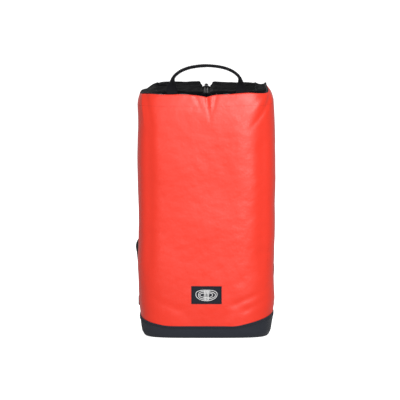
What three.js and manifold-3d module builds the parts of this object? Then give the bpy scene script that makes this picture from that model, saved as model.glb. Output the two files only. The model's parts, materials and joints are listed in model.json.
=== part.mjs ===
// A soft rope storage bag that stands on its own base and is carried by hand or on the back.
//
// A coated-fabric wrap forms the front and both sides, a padded panel closes the back, and a darker
// boot takes the wear underneath. The lid has a zip that runs from front to back, so the two halves
// of the lid part sideways. A webbing handle folds at the top of the front panel, and two shoulder
// straps hang behind the back panel.
//
// Millimetres, +Z up, the front faces -Y. The origin is the centre of the flat underside.

import * as THREE from 'three';
import { mergeVertices } from 'three/addons/utils/BufferGeometryUtils.js';
import Module from 'manifold-3d';

const wasm = await Module();
wasm.setup();

// ---------------------------------------------------------------------------------------------
// Driving dimensions
// ---------------------------------------------------------------------------------------------

const BODY_WIDTH = 283; // across the widest part of the sides
const BODY_DEPTH = 200; // front face to back face, without straps
const BODY_HEIGHT = 500; // underside to the top edge of the walls
const GAP = 0.4; // left between pieces that are sewn together or touch
const LAY_GAP = 0.7; // left where one curved piece lies against another

const WALL = 2.0; // coated fabric with its lining
const BOOT_WALL = 2.2;
const BOOT_FRONT = 22; // height of the boot's seam at the middle of the front
const BOOT_SIDE = 42; // and at the sides and the back
const BASE_EDGE = 5; // rounding between the underside and the boot's wall
const BOARD_THICKNESS = 3;
const BOARD_MARGIN = 9; // from the outside of the bag to the stiffening board
const SEAM_TAPE_WIDTH = 18;
const SEAM_TAPE_THICKNESS = 1;

const BACK_CORNER = 50; // degrees from the side, where the wrap meets the back panel
const PIPING_RADIUS = 1.5;
const BINDING_RADIUS = 1.8;

const LID_RISE = 6; // the flat middle of the lid above the walls' top edge
const LID_CLOTH = 1.6;
const LID_FLAT = 0.86; // share of the lid's outline that is flat before it rolls down
const MOUTH_END_ROOM = 28; // from each end of the mouth to the outside of the walls
const FLAP_WIDTH = 40;
const FLAP_LAP = 3; // how far the flap lies under the fixed cloth

const CHAIN_HALF_WIDTH = 4.4;
const CHAIN_SPLIT = 0.6; // half the slot between the two rows of teeth
const CHAIN_HEIGHT = 1.6;
const TOOTH_PITCH = 4;
const TOOTH_WIDTH = 2.2;
const TOOTH_DEPTH = 2.4;
const ZIP_TAPE = 0.8;
const ZIP_TAPE_WIDTH = 16;
const STRIP_HALF_WIDTH = 8; // from the zip's centre line to the hem of the lid's cloth

const SLIDER_LENGTH = 12;
const SLIDER_HALF_WIDTH = 6.4;
const SLIDER_PLATE = 1.6;
const SLIDER_WEB = 0.6;
const BRIDGE_WIDTH = 2.4;
const BRIDGE_WINDOW = 3.4; // height of the opening that the pull's bar turns in
const BRIDGE_WALL = 1.2;
const PULL_LENGTH = 18;
const PULL_WIDTH = 8;
const PULL_THICKNESS = 1.8;
const GRIP_LENGTH = 20;
const GRIP_RADIUS = 2.4;

const HANDLE_SPAN = 141; // between the middles of the two feet
const HANDLE_RISE = 61; // top of the grip above the walls' top edge
const HANDLE_FOOT_WIDTH = 25;
const HANDLE_GRIP_WIDTH = 21;
const HANDLE_FOOT_THICKNESS = 3;
const HANDLE_GRIP_THICKNESS = 6;
const ANCHOR_DEPTH = 18; // how far the handle's ends run down inside the wall
const FOLD_HEIGHT = 5.4; // the handle's fold line above the walls' top edge

const LABEL_WIDTH = 61;
const LABEL_HEIGHT = 36;
const LABEL_MIDDLE = 90; // height of its centre
const LABEL_THICKNESS = 1.2;

const PAD_BOTTOM = 60; // the back pad
const PAD_TOP_DROP = 75; // measured down from the walls' top edge, as the next four are too
const YOKE_BOTTOM_DROP = 66;
const YOKE_TOP_DROP = 30;
const STRAP_DROP = 48; // the line that the shoulder straps swing about
const HIGH_LOOP_DROP = 60;
const PAD_THICKNESS = 9;
const PAD_EDGE = 3;
const YOKE_WIDTH = 150;
const YOKE_THICKNESS = 3;

const STRAP_TOP_SPACING = 84; // between the straps at the yoke
const STRAP_LOW_SPACING = 196; // between the straps at the buckles
const STRAP_LOW_HEIGHT = 236;
const STRAP_WIDTH = 60;
const STRAP_THICKNESS = 12;
const STRAP_NECK = 6; // thickness where the strap leaves the yoke
const STRAP_STANDOFF = 13; // clear space for an arm between the strap and the back pad
const STRAP_WEBBING_WIDTH = 22;
const STRAP_WEBBING = 1.6;
const LOCK_WIDTH = 32;
const LOCK_HEIGHT = 24;
const LOCK_THICKNESS = 4.5;
const LOCK_SLOT = 3.6;
const LOWER_WEBBING_WIDTH = 20;
const TAB_HEIGHT = 56; // of the lower anchor tabs' middles
const TAB_REACH = 140; // from the centre plane to a tab's tip

const LOOP_WIDTH = 20; // webbing loops inside that a rope's ends are tied to
const LOOP_DEPTH = 20;
const LOOP_SPAN = 36;
const LOOP_WEBBING = 2;
const LOW_LOOP_HEIGHT = 78;

// ---------------------------------------------------------------------------------------------
// Values that follow from the driving dimensions
// ---------------------------------------------------------------------------------------------

const HALF_WIDTH = BODY_WIDTH / 2;
const HALF_DEPTH = BODY_DEPTH / 2;
const LID_TOP = BODY_HEIGHT + LID_RISE;
const LID_UNDERSIDE = LID_TOP - LID_CLOTH;
const FLAP_TOP = LID_UNDERSIDE - GAP;
const TAPE_TOP = FLAP_TOP - LID_CLOTH - GAP;
const TAPE_UNDERSIDE = TAPE_TOP - ZIP_TAPE;
const CHAIN_BOTTOM = TAPE_TOP + GAP;
const CHAIN_TOP = CHAIN_BOTTOM + CHAIN_HEIGHT;
const SLIDER_TOP = CHAIN_TOP + GAP + SLIDER_PLATE;
const PULL_AXIS_HEIGHT = SLIDER_TOP + BRIDGE_WINDOW / 2;
const FOLD_Z = BODY_HEIGHT + FOLD_HEIGHT;
const STRAP_HEIGHT = BODY_HEIGHT - STRAP_DROP;

// The walls' outline swells from the base and draws in again at the top edge.
const PROFILE = new THREE.SplineCurve([
	new THREE.Vector2(0, 0.9),
	new THREE.Vector2(0.03, 0.94),
	new THREE.Vector2(0.09, 0.965),
	new THREE.Vector2(0.18, 0.983),
	new THREE.Vector2(0.42, 0.995),
	new THREE.Vector2(0.66, 1),
	new THREE.Vector2(0.86, 0.992),
	new THREE.Vector2(0.95, 0.975),
	new THREE.Vector2(1, 0.94),
]);
const PROFILE_SAMPLES = PROFILE.getPoints(80);

const MOUTH_HALF_LENGTH = HALF_DEPTH * girth(BODY_HEIGHT) - MOUTH_END_ROOM;
const SLIDER_PARK = MOUTH_HALF_LENGTH + 2 * GAP + SLIDER_LENGTH / 2;

// How square the horizontal outline is: 2 is an ellipse, and more is nearer a rectangle.
const BASE_SQUARENESS = 4;
const TOP_SQUARENESS = 5;

const RED = [0xf4493a, 0.42, 0];
const BLACK_CLOTH = [0x1b1c20, 0.5, 0];
const BLACK_WEBBING = [0x15161a, 0.8, 0];
const SLATE = [0x2e3038, 0.85, 0];
const MESH_PAD = [0x222328, 0.95, 0];
const BLACK_PLASTIC = [0x121316, 0.45, 0];
const DARK_METAL = [0x33353a, 0.35, 0.9];
const BOARD_PLASTIC = [0x3a3c40, 0.7, 0];

// ---------------------------------------------------------------------------------------------
// Helpers
// ---------------------------------------------------------------------------------------------

const bag = new THREE.Group();

function place(name, geometry, [color, roughness, metalness]) {
	const mesh = new THREE.Mesh(geometry, new THREE.MeshStandardMaterial({ color, roughness, metalness }));
	mesh.name = name;
	bag.add(mesh);
	return mesh;
}

function radians(degrees) {
	return THREE.MathUtils.degToRad(degrees);
}

function steps(from, to, count) {
	return Array.from({ length: count + 1 }, (_, i) => from + ((to - from) * i) / count);
}

// The share of the full width and depth that the walls have at a height.
function girth(z) {
	const level = THREE.MathUtils.clamp(z / BODY_HEIGHT, 0, 1);
	const next = PROFILE_SAMPLES.findIndex((sample) => sample.x >= level);
	if (next < 1) return PROFILE_SAMPLES[0].y;
	const low = PROFILE_SAMPLES[next - 1];
	const high = PROFILE_SAMPLES[next];
	return THREE.MathUtils.mapLinear(level, low.x, high.x, low.y, high.y);
}

function squareness(z) {
	return THREE.MathUtils.lerp(BASE_SQUARENESS, TOP_SQUARENESS, THREE.MathUtils.clamp(z / BODY_HEIGHT, 0, 1));
}

// A point on the walls at an angle from +X towards +Y, moved in from the outside by inset.
function wallPoint(degrees, z, inset = 0) {
	const power = 2 / squareness(z);
	const cos = Math.cos(radians(degrees));
	const sin = Math.sin(radians(degrees));
	const x = (HALF_WIDTH * girth(z) - inset) * Math.sign(cos) * Math.abs(cos) ** power;
	const y = (HALF_DEPTH * girth(z) - inset) * Math.sign(sin) * Math.abs(sin) ** power;
	return new THREE.Vector3(x, y, z);
}

// The distance from the centre plane to the front or back face at a place across the bag.
function wallDepthAt(x, z, inset = 0) {
	const power = squareness(z);
	const across = Math.abs(x) / (HALF_WIDTH * girth(z) - inset);
	return (HALF_DEPTH * girth(z) - inset) * (1 - across ** power) ** (1 / power);
}

function signedVolume(points, triangles) {
	let total = 0;
	for (const [a, b, c] of triangles) {
		total += points[a].dot(new THREE.Vector3().crossVectors(points[b], points[c])) / 6;
	}
	return total;
}

// A closed solid from points and triangles that all turn the same way, with its faces pointing out.
function closedSolid(points, triangles) {
	const outward = signedVolume(points, triangles) > 0;
	const order = outward ? triangles : triangles.map(([a, b, c]) => [a, c, b]);
	const geometry = new THREE.BufferGeometry().setFromPoints(points);
	geometry.setIndex(order.flat());
	geometry.computeVertexNormals();
	return geometry;
}

// The cloth between two grids of points, an outer face and an inner face, closed at its edges.
function sheet(outer, inner, looped = false) {
	const columns = outer.length;
	const rows = outer[0].length;
	const points = [...outer.flat(), ...inner.flat()];
	const id = (side, i, j) => side * columns * rows + (i % columns) * rows + j;
	const triangles = [];
	const quad = (a, b, c, d) => triangles.push([a, b, c], [a, c, d]);
	const lastColumn = looped ? columns : columns - 1;
	for (let i = 0; i < lastColumn; i += 1) {
		for (let j = 0; j < rows - 1; j += 1) {
			quad(id(0, i, j), id(0, i + 1, j), id(0, i + 1, j + 1), id(0, i, j + 1));
			quad(id(1, i, j), id(1, i, j + 1), id(1, i + 1, j + 1), id(1, i + 1, j));
		}
		quad(id(0, i, 0), id(1, i, 0), id(1, i + 1, 0), id(0, i + 1, 0));
		quad(id(0, i, rows - 1), id(0, i + 1, rows - 1), id(1, i + 1, rows - 1), id(1, i, rows - 1));
	}
	if (!looped) {
		for (let j = 0; j < rows - 1; j += 1) {
			quad(id(0, 0, j), id(0, 0, j + 1), id(1, 0, j + 1), id(1, 0, j));
			const end = columns - 1;
			quad(id(0, end, j), id(1, end, j), id(1, end, j + 1), id(0, end, j + 1));
		}
	}
	return closedSolid(points, triangles);
}

// A closed solid through a row of rings with the same number of points, capped at both ends.
function loft(rings) {
	const count = rings[0].length;
	const points = rings.flat();
	const triangles = [];
	for (let i = 0; i < rings.length - 1; i += 1) {
		for (let j = 0; j < count; j += 1) {
			const k = (j + 1) % count;
			const [a, b] = [i * count + j, i * count + k];
			triangles.push([a, b, b + count], [a, b + count, a + count]);
		}
	}
	for (const [start, turn] of [[0, 1], [(rings.length - 1) * count, -1]]) {
		const centre = points.slice(start, start + count).reduce((sum, p) => sum.add(p), new THREE.Vector3());
		points.push(centre.divideScalar(count));
		for (let j = 0; j < count; j += 1) {
			const pair = [start + j, start + ((j + 1) % count)];
			if (turn > 0) pair.reverse();
			triangles.push([points.length - 1, ...pair]);
		}
	}
	return closedSolid(points, triangles);
}

// A flat strip's cross-section: a rectangle with softened corners, round the strip's middle.
function stripRing(middle, across, through, width, thickness) {
	const corner = Math.min(width, thickness) * 0.3;
	const [w, t] = [width / 2, thickness / 2];
	const outline = [
		[w, t - corner], [w - corner, t], [corner - w, t], [-w, t - corner],
		[-w, corner - t], [corner - w, -t], [w - corner, -t], [w, corner - t],
	];
	return outline.map(([a, b]) => middle.clone().addScaledVector(across, a).addScaledVector(through, b));
}

// A strip of webbing along a curve; side gives the direction across the strip at a share of its length.
function webbing(curve, count, side, width, thickness) {
	const rings = steps(0, 1, count).map((share) => {
		const tangent = curve.getTangentAt(share);
		const across = side(share, tangent);
		across.addScaledVector(tangent, -across.dot(tangent)).normalize();
		const through = new THREE.Vector3().crossVectors(tangent, across);
		return stripRing(curve.getPointAt(share), across, through, width(share), thickness(share));
	});
	return loft(rings);
}

// A round bead along a row of points, such as a piping or a bound edge.
function bead(path, radius, sides = 6) {
	const curve = new THREE.CatmullRomCurve3(path);
	const outline = new THREE.Shape(steps(0, 360, sides).slice(0, -1).map((turn) => (
		new THREE.Vector2(radius * Math.cos(radians(turn)), radius * Math.sin(radians(turn)))
	)));
	const geometry = new THREE.ExtrudeGeometry(outline, { steps: path.length, extrudePath: curve });
	return geometry;
}

function box(width, depth, height, x, y, z) {
	return new THREE.BoxGeometry(width, depth, height).translate(x, y, z);
}

function plate(outline, thickness, holes = []) {
	const shape = new THREE.Shape(outline.map(([x, y]) => new THREE.Vector2(x, y)));
	for (const hole of holes) {
		shape.holes.push(new THREE.Path(hole.map(([x, y]) => new THREE.Vector2(x, y))));
	}
	return new THREE.ExtrudeGeometry(shape, { depth: thickness, bevelEnabled: false, curveSegments: 8 });
}

function rectangle(x0, y0, x1, y1) {
	return [[x0, y0], [x1, y0], [x1, y1], [x0, y1]];
}

function toManifold(geometry) {
	const bare = geometry.clone();
	bare.deleteAttribute('normal');
	bare.deleteAttribute('uv');
	const merged = mergeVertices(bare, 1e-4);
	return new wasm.Manifold(new wasm.Mesh({
		numProp: 3,
		vertProperties: new Float32Array(merged.attributes.position.array),
		triVerts: new Uint32Array(merged.index.array),
	}));
}

function fromManifold(solid) {
	const mesh = solid.getMesh();
	const geometry = new THREE.BufferGeometry();
	geometry.setAttribute('position', new THREE.BufferAttribute(new Float32Array(mesh.vertProperties), 3));
	geometry.setIndex(new THREE.BufferAttribute(new Uint32Array(mesh.triVerts), 1));
	geometry.computeVertexNormals();
	return geometry;
}

function cut(geometry, ...tools) {
	return fromManifold(tools.reduce((solid, tool) => solid.subtract(toManifold(tool)), toManifold(geometry)));
}

function join(geometry, ...others) {
	return fromManifold(others.reduce((solid, other) => solid.add(toManifold(other)), toManifold(geometry)));
}

// ---------------------------------------------------------------------------------------------
// Walls and base
// ---------------------------------------------------------------------------------------------

// The boot's top seam is low at the middle of the front and climbs in a smile towards the sides.
function bootSeam(degrees) {
	const forward = Math.max(0, -Math.sin(radians(degrees)));
	return THREE.MathUtils.lerp(BOOT_SIDE, BOOT_FRONT, forward ** 3);
}

// Half of the angle that the piping and its gaps take up at a back corner.
function cornerSlot(z) {
	const perDegree = wallPoint(BACK_CORNER - 1, z).distanceTo(wallPoint(BACK_CORNER + 1, z)) / 2;
	return (PIPING_RADIUS + LAY_GAP) / perDegree;
}

// The walls between two angles; each edge stays clear of the piping beside it.
function wallPanel(fromDegrees, toDegrees, columns) {
	const levels = steps(0, 1, 12);
	const face = (inset) => steps(0, 1, columns).map((share) => levels.map((level) => {
		const foot = bootSeam(THREE.MathUtils.lerp(fromDegrees, toDegrees, share)) + GAP;
		const z = THREE.MathUtils.lerp(foot, BODY_HEIGHT, level);
		const degrees = THREE.MathUtils.lerp(fromDegrees + cornerSlot(z), toDegrees - cornerSlot(z), share);
		return wallPoint(degrees, z, inset);
	}));
	return sheet(face(0), face(WALL));
}

function addWalls() {
	place('front_and_side_wrap', wallPanel(180 - BACK_CORNER, 360 + BACK_CORNER, 40), RED);
	place('back_panel', wallPanel(BACK_CORNER, 180 - BACK_CORNER, 10), BLACK_CLOTH);
	for (const [side, degrees] of [['left', 180 - BACK_CORNER], ['right', BACK_CORNER]]) {
		const heights = steps(bootSeam(degrees) + PIPING_RADIUS + GAP, BODY_HEIGHT - GAP, 12);
		const path = heights.map((z) => wallPoint(degrees, z, WALL / 2));
		place(`corner_piping_${side}`, bead(path, PIPING_RADIUS), BLACK_WEBBING);
	}
}

function addBoot() {
	const around = steps(0, 360, 48).slice(0, -1);
	const ring = (height, inset) => around.map((degrees) => wallPoint(degrees, height(degrees), inset));
	const level = (z) => () => z;
	const share = (part) => (degrees) => THREE.MathUtils.lerp(BASE_EDGE, bootSeam(degrees), part);
	const rounding = BASE_EDGE * 0.3;
	place('base_boot', loft([
		ring(level(0), BASE_EDGE),
		ring(level(rounding), rounding),
		ring(share(0), 0),
		ring(share(0.5), 0),
		ring(share(1), 0),
		ring(share(1), BOOT_WALL),
		ring(share(0.5), BOOT_WALL),
		ring(share(0), BOOT_WALL + GAP),
		ring(level(BOOT_WALL), BASE_EDGE + BOOT_WALL),
	]), SLATE);
}

function addBaseBoard() {
	const z = BOOT_WALL + GAP;
	const outline = steps(0, 360, 48).slice(0, -1).map((degrees) => wallPoint(degrees, z, BOARD_MARGIN));
	const board = plate(outline.map(({ x, y }) => [x, y]), BOARD_THICKNESS);
	place('base_board', board.translate(0, 0, z), BOARD_PLASTIC);
}

// A tape inside covers the seam between the boot and the walls all the way round.
function addBaseSeamTape() {
	const inset = BOOT_WALL + 2 * GAP;
	const around = steps(0, 360, 48).slice(0, -1);
	const face = (extra) => around.map((degrees) => steps(-0.5, 0.5, 1).map((share) => (
		wallPoint(degrees, bootSeam(degrees) + share * SEAM_TAPE_WIDTH, inset + extra)
	)));
	place('base_seam_tape', sheet(face(0), face(SEAM_TAPE_THICKNESS), true), BLACK_WEBBING);
}

// The bound edge shows along the sides and the back; at the front the wrap's own hem is the edge.
function addTopBinding() {
	const path = steps(-52, 232, 44).map((degrees) => {
		const point = wallPoint(degrees, BODY_HEIGHT, BINDING_RADIUS);
		point.z = BODY_HEIGHT + BINDING_RADIUS + GAP;
		return point;
	});
	place('top_edge_binding', bead(path, BINDING_RADIUS), BLACK_WEBBING);
}

// ---------------------------------------------------------------------------------------------
// Lid: fixed cloth, moving flaps and the zip
// ---------------------------------------------------------------------------------------------

const LID_INSET = 2 * BINDING_RADIUS + GAP;

// The lid is flat in the middle and rolls down to the walls' top edge near its outline.
function lidHeight(x, y) {
	const power = TOP_SQUARENESS;
	const across = Math.abs(x) / (HALF_WIDTH * girth(BODY_HEIGHT) - LID_INSET);
	const along = Math.abs(y) / (HALF_DEPTH * girth(BODY_HEIGHT) - LID_INSET);
	const outward = (across ** power + along ** power) ** (1 / power);
	const fall = Math.max(0, (outward - LID_FLAT) / (1 - LID_FLAT));
	return LID_TOP - (LID_RISE - LID_CLOTH - GAP) * fall ** 2;
}

function handleAnchorBox(sideSign, margin = 0) {
	const wallFace = wallDepthAt(HANDLE_SPAN / 2 + HANDLE_FOOT_WIDTH / 2, BODY_HEIGHT, WALL + GAP);
	const y = -(wallFace - HANDLE_FOOT_THICKNESS / 2);
	const top = FOLD_Z - HANDLE_FOOT_THICKNESS / 2 - GAP;
	const height = ANCHOR_DEPTH + top - BODY_HEIGHT;
	const width = HANDLE_FOOT_WIDTH + 2 * margin;
	const depth = HANDLE_FOOT_THICKNESS + 2 * margin;
	return box(width, depth, height + margin, (sideSign * HANDLE_SPAN) / 2, y, top - height / 2 + margin / 2);
}

const FOLD_Y = -(wallDepthAt(HANDLE_SPAN / 2 + HANDLE_FOOT_WIDTH / 2, BODY_HEIGHT, WALL + GAP)
	- HANDLE_FOOT_THICKNESS / 2);

function addFixedLid(side, sideSign) {
	const reach = (HALF_WIDTH * girth(BODY_HEIGHT) - LID_INSET) * 0.985;
	const columns = steps(STRIP_HALF_WIDTH, reach, 10);
	const face = (drop) => columns.map((x) => {
		const edge = wallDepthAt(x, BODY_HEIGHT, LID_INSET);
		return steps(-1, 1, 12).map((share) => {
			const y = edge * Math.sin(radians(90 * share));
			return new THREE.Vector3(sideSign * x, y, lidHeight(x, y) - drop);
		});
	});
	const cloth = sheet(face(0), face(LID_CLOTH));
	const windowWidth = STRIP_HALF_WIDTH + FLAP_WIDTH - FLAP_LAP;
	const windowLength = 2 * (MOUTH_HALF_LENGTH - FLAP_LAP);
	const window = box(windowWidth, windowLength, 4 * LID_RISE, (sideSign * windowWidth) / 2, 0, LID_TOP);
	place(`top_panel_${side}`, cut(cloth, window, handleAnchorBox(sideSign, GAP)), BLACK_CLOTH);
}

function addFlap(side, sideSign) {
	const middle = sideSign * (STRIP_HALF_WIDTH + FLAP_WIDTH / 2);
	const flap = box(FLAP_WIDTH, 2 * MOUTH_HALF_LENGTH, LID_CLOTH, middle, 0, FLAP_TOP - LID_CLOTH / 2);
	place(`top_flap_${side}`, flap, BLACK_CLOTH);
	const tapeMiddle = sideSign * (CHAIN_SPLIT + ZIP_TAPE_WIDTH / 2);
	const tape = box(ZIP_TAPE_WIDTH, 2 * MOUTH_HALF_LENGTH, ZIP_TAPE, tapeMiddle, 0, TAPE_TOP - ZIP_TAPE / 2);
	place(`zip_tape_${side}`, tape, BLACK_WEBBING);
	place(`zip_teeth_${side}`, teethRow(sideSign), BLACK_PLASTIC);
}

// One row of the coil, as a comb whose teeth point at the other row.
function teethRow(sideSign) {
	const count = Math.floor((2 * MOUTH_HALF_LENGTH) / TOOTH_PITCH);
	const start = (-count * TOOTH_PITCH) / 2;
	const spine = CHAIN_SPLIT + TOOTH_DEPTH;
	const outline = [[CHAIN_HALF_WIDTH, start]];
	for (let i = 0; i < count; i += 1) {
		const foot = start + i * TOOTH_PITCH + (TOOTH_PITCH - TOOTH_WIDTH) / 2;
		const head = foot + TOOTH_WIDTH;
		outline.push([spine, foot], [CHAIN_SPLIT, foot], [CHAIN_SPLIT, head], [spine, head]);
	}
	outline.push([CHAIN_HALF_WIDTH, -start]);
	const ordered = outline.map(([x, y]) => [sideSign * x, y]);
	return plate(ordered, CHAIN_HEIGHT).translate(0, 0, CHAIN_BOTTOM);
}

// Past each end of the mouth a fixed tape holds the slider, and narrows to a tongue under the stop.
function addZipEnd(end, endSign) {
	const inner = MOUTH_HALF_LENGTH + GAP;
	const stopStart = SLIDER_PARK + SLIDER_LENGTH / 2 + GAP;
	const outer = stopStart + 5;
	const wide = STRIP_HALF_WIDTH + FLAP_LAP;
	const narrow = STRIP_HALF_WIDTH - GAP;
	const slot = CHAIN_SPLIT;
	const outline = [
		[-wide, inner], [-slot, inner], [-slot, stopStart], [slot, stopStart], [slot, inner], [wide, inner],
		[wide, SLIDER_PARK], [narrow, stopStart], [narrow, outer],
		[-narrow, outer], [-narrow, stopStart], [-wide, SLIDER_PARK],
	].map(([x, y]) => [x, endSign * y]);
	place(`zip_end_tape_${end}`, plate(outline, ZIP_TAPE).translate(0, 0, TAPE_UNDERSIDE), BLACK_WEBBING);
	const stopMiddle = endSign * (stopStart + 1.4);
	const stop = box(2 * CHAIN_HALF_WIDTH, 2, CHAIN_HEIGHT, 0, stopMiddle, CHAIN_BOTTOM + CHAIN_HEIGHT / 2);
	place(`zip_stop_${end}`, stop, DARK_METAL);
}

// The slider's plates run above and below the chain and are held together by a web in its slot.
function addSlider() {
	const lowest = TAPE_UNDERSIDE - GAP - SLIDER_PLATE;
	const flange = [CHAIN_HALF_WIDTH + GAP, SLIDER_HALF_WIDTH];
	const [web, under, over] = [SLIDER_WEB / 2, TAPE_UNDERSIDE - GAP, CHAIN_TOP + GAP];
	const flangeFoot = TAPE_TOP + GAP;
	const half = [
		[SLIDER_HALF_WIDTH, lowest], [SLIDER_HALF_WIDTH, under], [web, under], [web, over],
		[flange[0], over], [flange[0], flangeFoot], [flange[1], flangeFoot], [SLIDER_HALF_WIDTH, SLIDER_TOP],
	];
	const outline = [...half, ...half.map(([x, z]) => [-x, z]).reverse()];
	const body = plate(outline, SLIDER_LENGTH).rotateX(Math.PI / 2);
	body.translate(0, SLIDER_PARK + SLIDER_LENGTH / 2, 0);
	const inside = BRIDGE_WINDOW / 2;
	const outside = inside + BRIDGE_WALL;
	const root = SLIDER_TOP - SLIDER_PLATE / 2;
	const arch = [
		[-outside - 0.6, root], [outside + 0.6, root],
		[outside, SLIDER_TOP + BRIDGE_WINDOW + BRIDGE_WALL], [-outside, SLIDER_TOP + BRIDGE_WINDOW + BRIDGE_WALL],
	];
	const eye = rectangle(-inside, SLIDER_TOP, inside, SLIDER_TOP + BRIDGE_WINDOW);
	const bridge = plate(arch, BRIDGE_WIDTH, [eye]).translate(0, 0, -BRIDGE_WIDTH / 2);
	bridge.rotateX(Math.PI / 2).rotateZ(Math.PI / 2).translate(0, SLIDER_PARK, 0);
	place('zip_slider', join(body, bridge), DARK_METAL);
}

// The pull's bar turns inside the slider's bridge; a moulded cord grip carries on from its end.
function addPull() {
	const bar = PULL_THICKNESS / 2;
	const eyeEnd = BRIDGE_WINDOW / 2 + BRIDGE_WALL + 2.4;
	const eye = rectangle(-BRIDGE_WIDTH / 2 - 0.7, bar, BRIDGE_WIDTH / 2 + 0.7, eyeEnd);
	const cordHole = rectangle(-1.6, PULL_LENGTH - 4, 1.6, PULL_LENGTH - 1.6);
	const half = PULL_WIDTH / 2;
	const outline = [
		[1 - half, -bar], [half - 1, -bar], [half, 0], [half, PULL_LENGTH - 2],
		[half - 2, PULL_LENGTH], [2 - half, PULL_LENGTH], [-half, PULL_LENGTH - 2], [-half, 0],
	];
	const pull = plate(outline, PULL_THICKNESS, [eye, cordHole]);
	place('zip_pull', pull.translate(0, SLIDER_PARK, PULL_AXIS_HEIGHT - bar), DARK_METAL);
	const start = SLIDER_PARK + PULL_LENGTH + GAP;
	const rings = steps(0, 1, 8).map((share) => {
		const radius = GRIP_RADIUS * (0.55 + 0.45 * Math.sin(Math.PI * Math.min(share * 1.25, 1)));
		return steps(0, 360, 10).slice(0, -1).map((turn) => new THREE.Vector3(
			radius * 1.25 * Math.cos(radians(turn)),
			start + share * GRIP_LENGTH,
			PULL_AXIS_HEIGHT + radius * 0.8 * Math.sin(radians(turn)),
		));
	});
	place('zip_pull_grip', loft(rings), BLACK_WEBBING);
}

// ---------------------------------------------------------------------------------------------
// Carry handle and label
// ---------------------------------------------------------------------------------------------

// The handle's centre line from the left foot over the grip to the right foot.
function handleCurve() {
	const foot = HANDLE_SPAN / 2;
	const crown = BODY_HEIGHT + HANDLE_RISE - HANDLE_GRIP_THICKNESS / 2;
	const climb = crown - FOLD_Z;
	const half = [
		[foot, 0], [foot, 0.28], [foot * 0.97, 0.62], [foot * 0.85, 0.86], [foot * 0.56, 0.97], [foot * 0.2, 1],
	];
	const points = half.map(([x, share]) => new THREE.Vector3(-x, FOLD_Y, FOLD_Z + climb * share));
	const back = half.toReversed().map(([x, share]) => new THREE.Vector3(x, FOLD_Y, FOLD_Z + climb * share));
	return new THREE.CatmullRomCurve3([...points, ...back], false, 'centripetal');
}

// The webbing faces forward at its feet, and a quarter turn above each foot lays the grip flat.
function addHandle() {
	const curve = handleCurve();
	const outOfPlane = new THREE.Vector3(0, 1, 0);
	const rings = steps(0, 1, 40).map((share) => {
		const fromFoot = Math.min(share, 1 - share) * 2;
		const twist = THREE.MathUtils.smoothstep(fromFoot, 0.12, 0.42);
		const tangent = curve.getTangentAt(share);
		const inPlane = new THREE.Vector3().crossVectors(outOfPlane, tangent);
		const angle = radians(90 * twist);
		const across = inPlane.multiplyScalar(Math.cos(angle)).addScaledVector(outOfPlane, Math.sin(angle));
		const through = new THREE.Vector3().crossVectors(tangent, across);
		const width = THREE.MathUtils.lerp(HANDLE_FOOT_WIDTH, HANDLE_GRIP_WIDTH, twist);
		const thickness = THREE.MathUtils.lerp(HANDLE_FOOT_THICKNESS, HANDLE_GRIP_THICKNESS, twist);
		return stripRing(curve.getPointAt(share), across, through, width, thickness);
	});
	const foldEnd = (sideSign) => {
		const radius = HANDLE_FOOT_THICKNESS / 2;
		const folds = [80, 50, 25].map((turn) => stripRing(
			new THREE.Vector3((sideSign * HANDLE_SPAN) / 2, FOLD_Y, FOLD_Z - radius * Math.sin(radians(turn))),
			new THREE.Vector3(-1, 0, 0),
			new THREE.Vector3(0, sideSign, 0),
			HANDLE_FOOT_WIDTH,
			HANDLE_FOOT_THICKNESS * Math.cos(radians(turn)),
		));
		return sideSign < 0 ? folds : folds.reverse();
	};
	place('handle_webbing', loft([...foldEnd(-1), ...rings, ...foldEnd(1)]), BLACK_WEBBING);
	place('handle_anchor_left', handleAnchorBox(-1), BLACK_WEBBING);
	place('handle_anchor_right', handleAnchorBox(1), BLACK_WEBBING);
}

// A patch that lies against the front face over a width and a height.
function surfacePatch(width, low, high, thickness, facing, columns = 6, rows = 4) {
	const face = (stand) => steps(-width / 2, width / 2, columns).map((x) => (
		steps(low, high, rows).map((z) => new THREE.Vector3(x, facing * (wallDepthAt(x, z) + stand), z))
	));
	return sheet(face(LAY_GAP + thickness), face(LAY_GAP));
}

function addLabel() {
	const low = LABEL_MIDDLE - LABEL_HEIGHT / 2;
	place('label_patch', surfacePatch(LABEL_WIDTH, low, low + LABEL_HEIGHT, LABEL_THICKNESS, -1), SLATE);
}

// ---------------------------------------------------------------------------------------------
// Back pad and shoulder straps
// ---------------------------------------------------------------------------------------------

function addBackPad() {
	const columns = steps(-1, 1, 14);
	const rows = steps(-1, 1, 16);
	const half = HALF_WIDTH * 0.66;
	const top = BODY_HEIGHT - PAD_TOP_DROP;
	const middle = (top + PAD_BOTTOM) / 2;
	const reach = (top - PAD_BOTTOM) / 2;
	const crown = (u, v) => (1 - Math.abs(u) ** 6) * (1 - Math.abs(v) ** 10);
	const face = (stand) => columns.map((u) => rows.map((v) => {
		const [x, z] = [u * half, middle + v * reach];
		return new THREE.Vector3(x, wallDepthAt(x, z) + stand(u, v), z);
	}));
	const outside = face((u, v) => LAY_GAP + PAD_EDGE + (PAD_THICKNESS - PAD_EDGE) * crown(u, v));
	place('back_pad', sheet(outside, face(() => LAY_GAP)), MESH_PAD);
	const yokeEnds = [BODY_HEIGHT - YOKE_BOTTOM_DROP, BODY_HEIGHT - YOKE_TOP_DROP];
	place('strap_yoke', surfacePatch(YOKE_WIDTH, ...yokeEnds, YOKE_THICKNESS, 1, 14, 4), BLACK_WEBBING);
}

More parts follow.
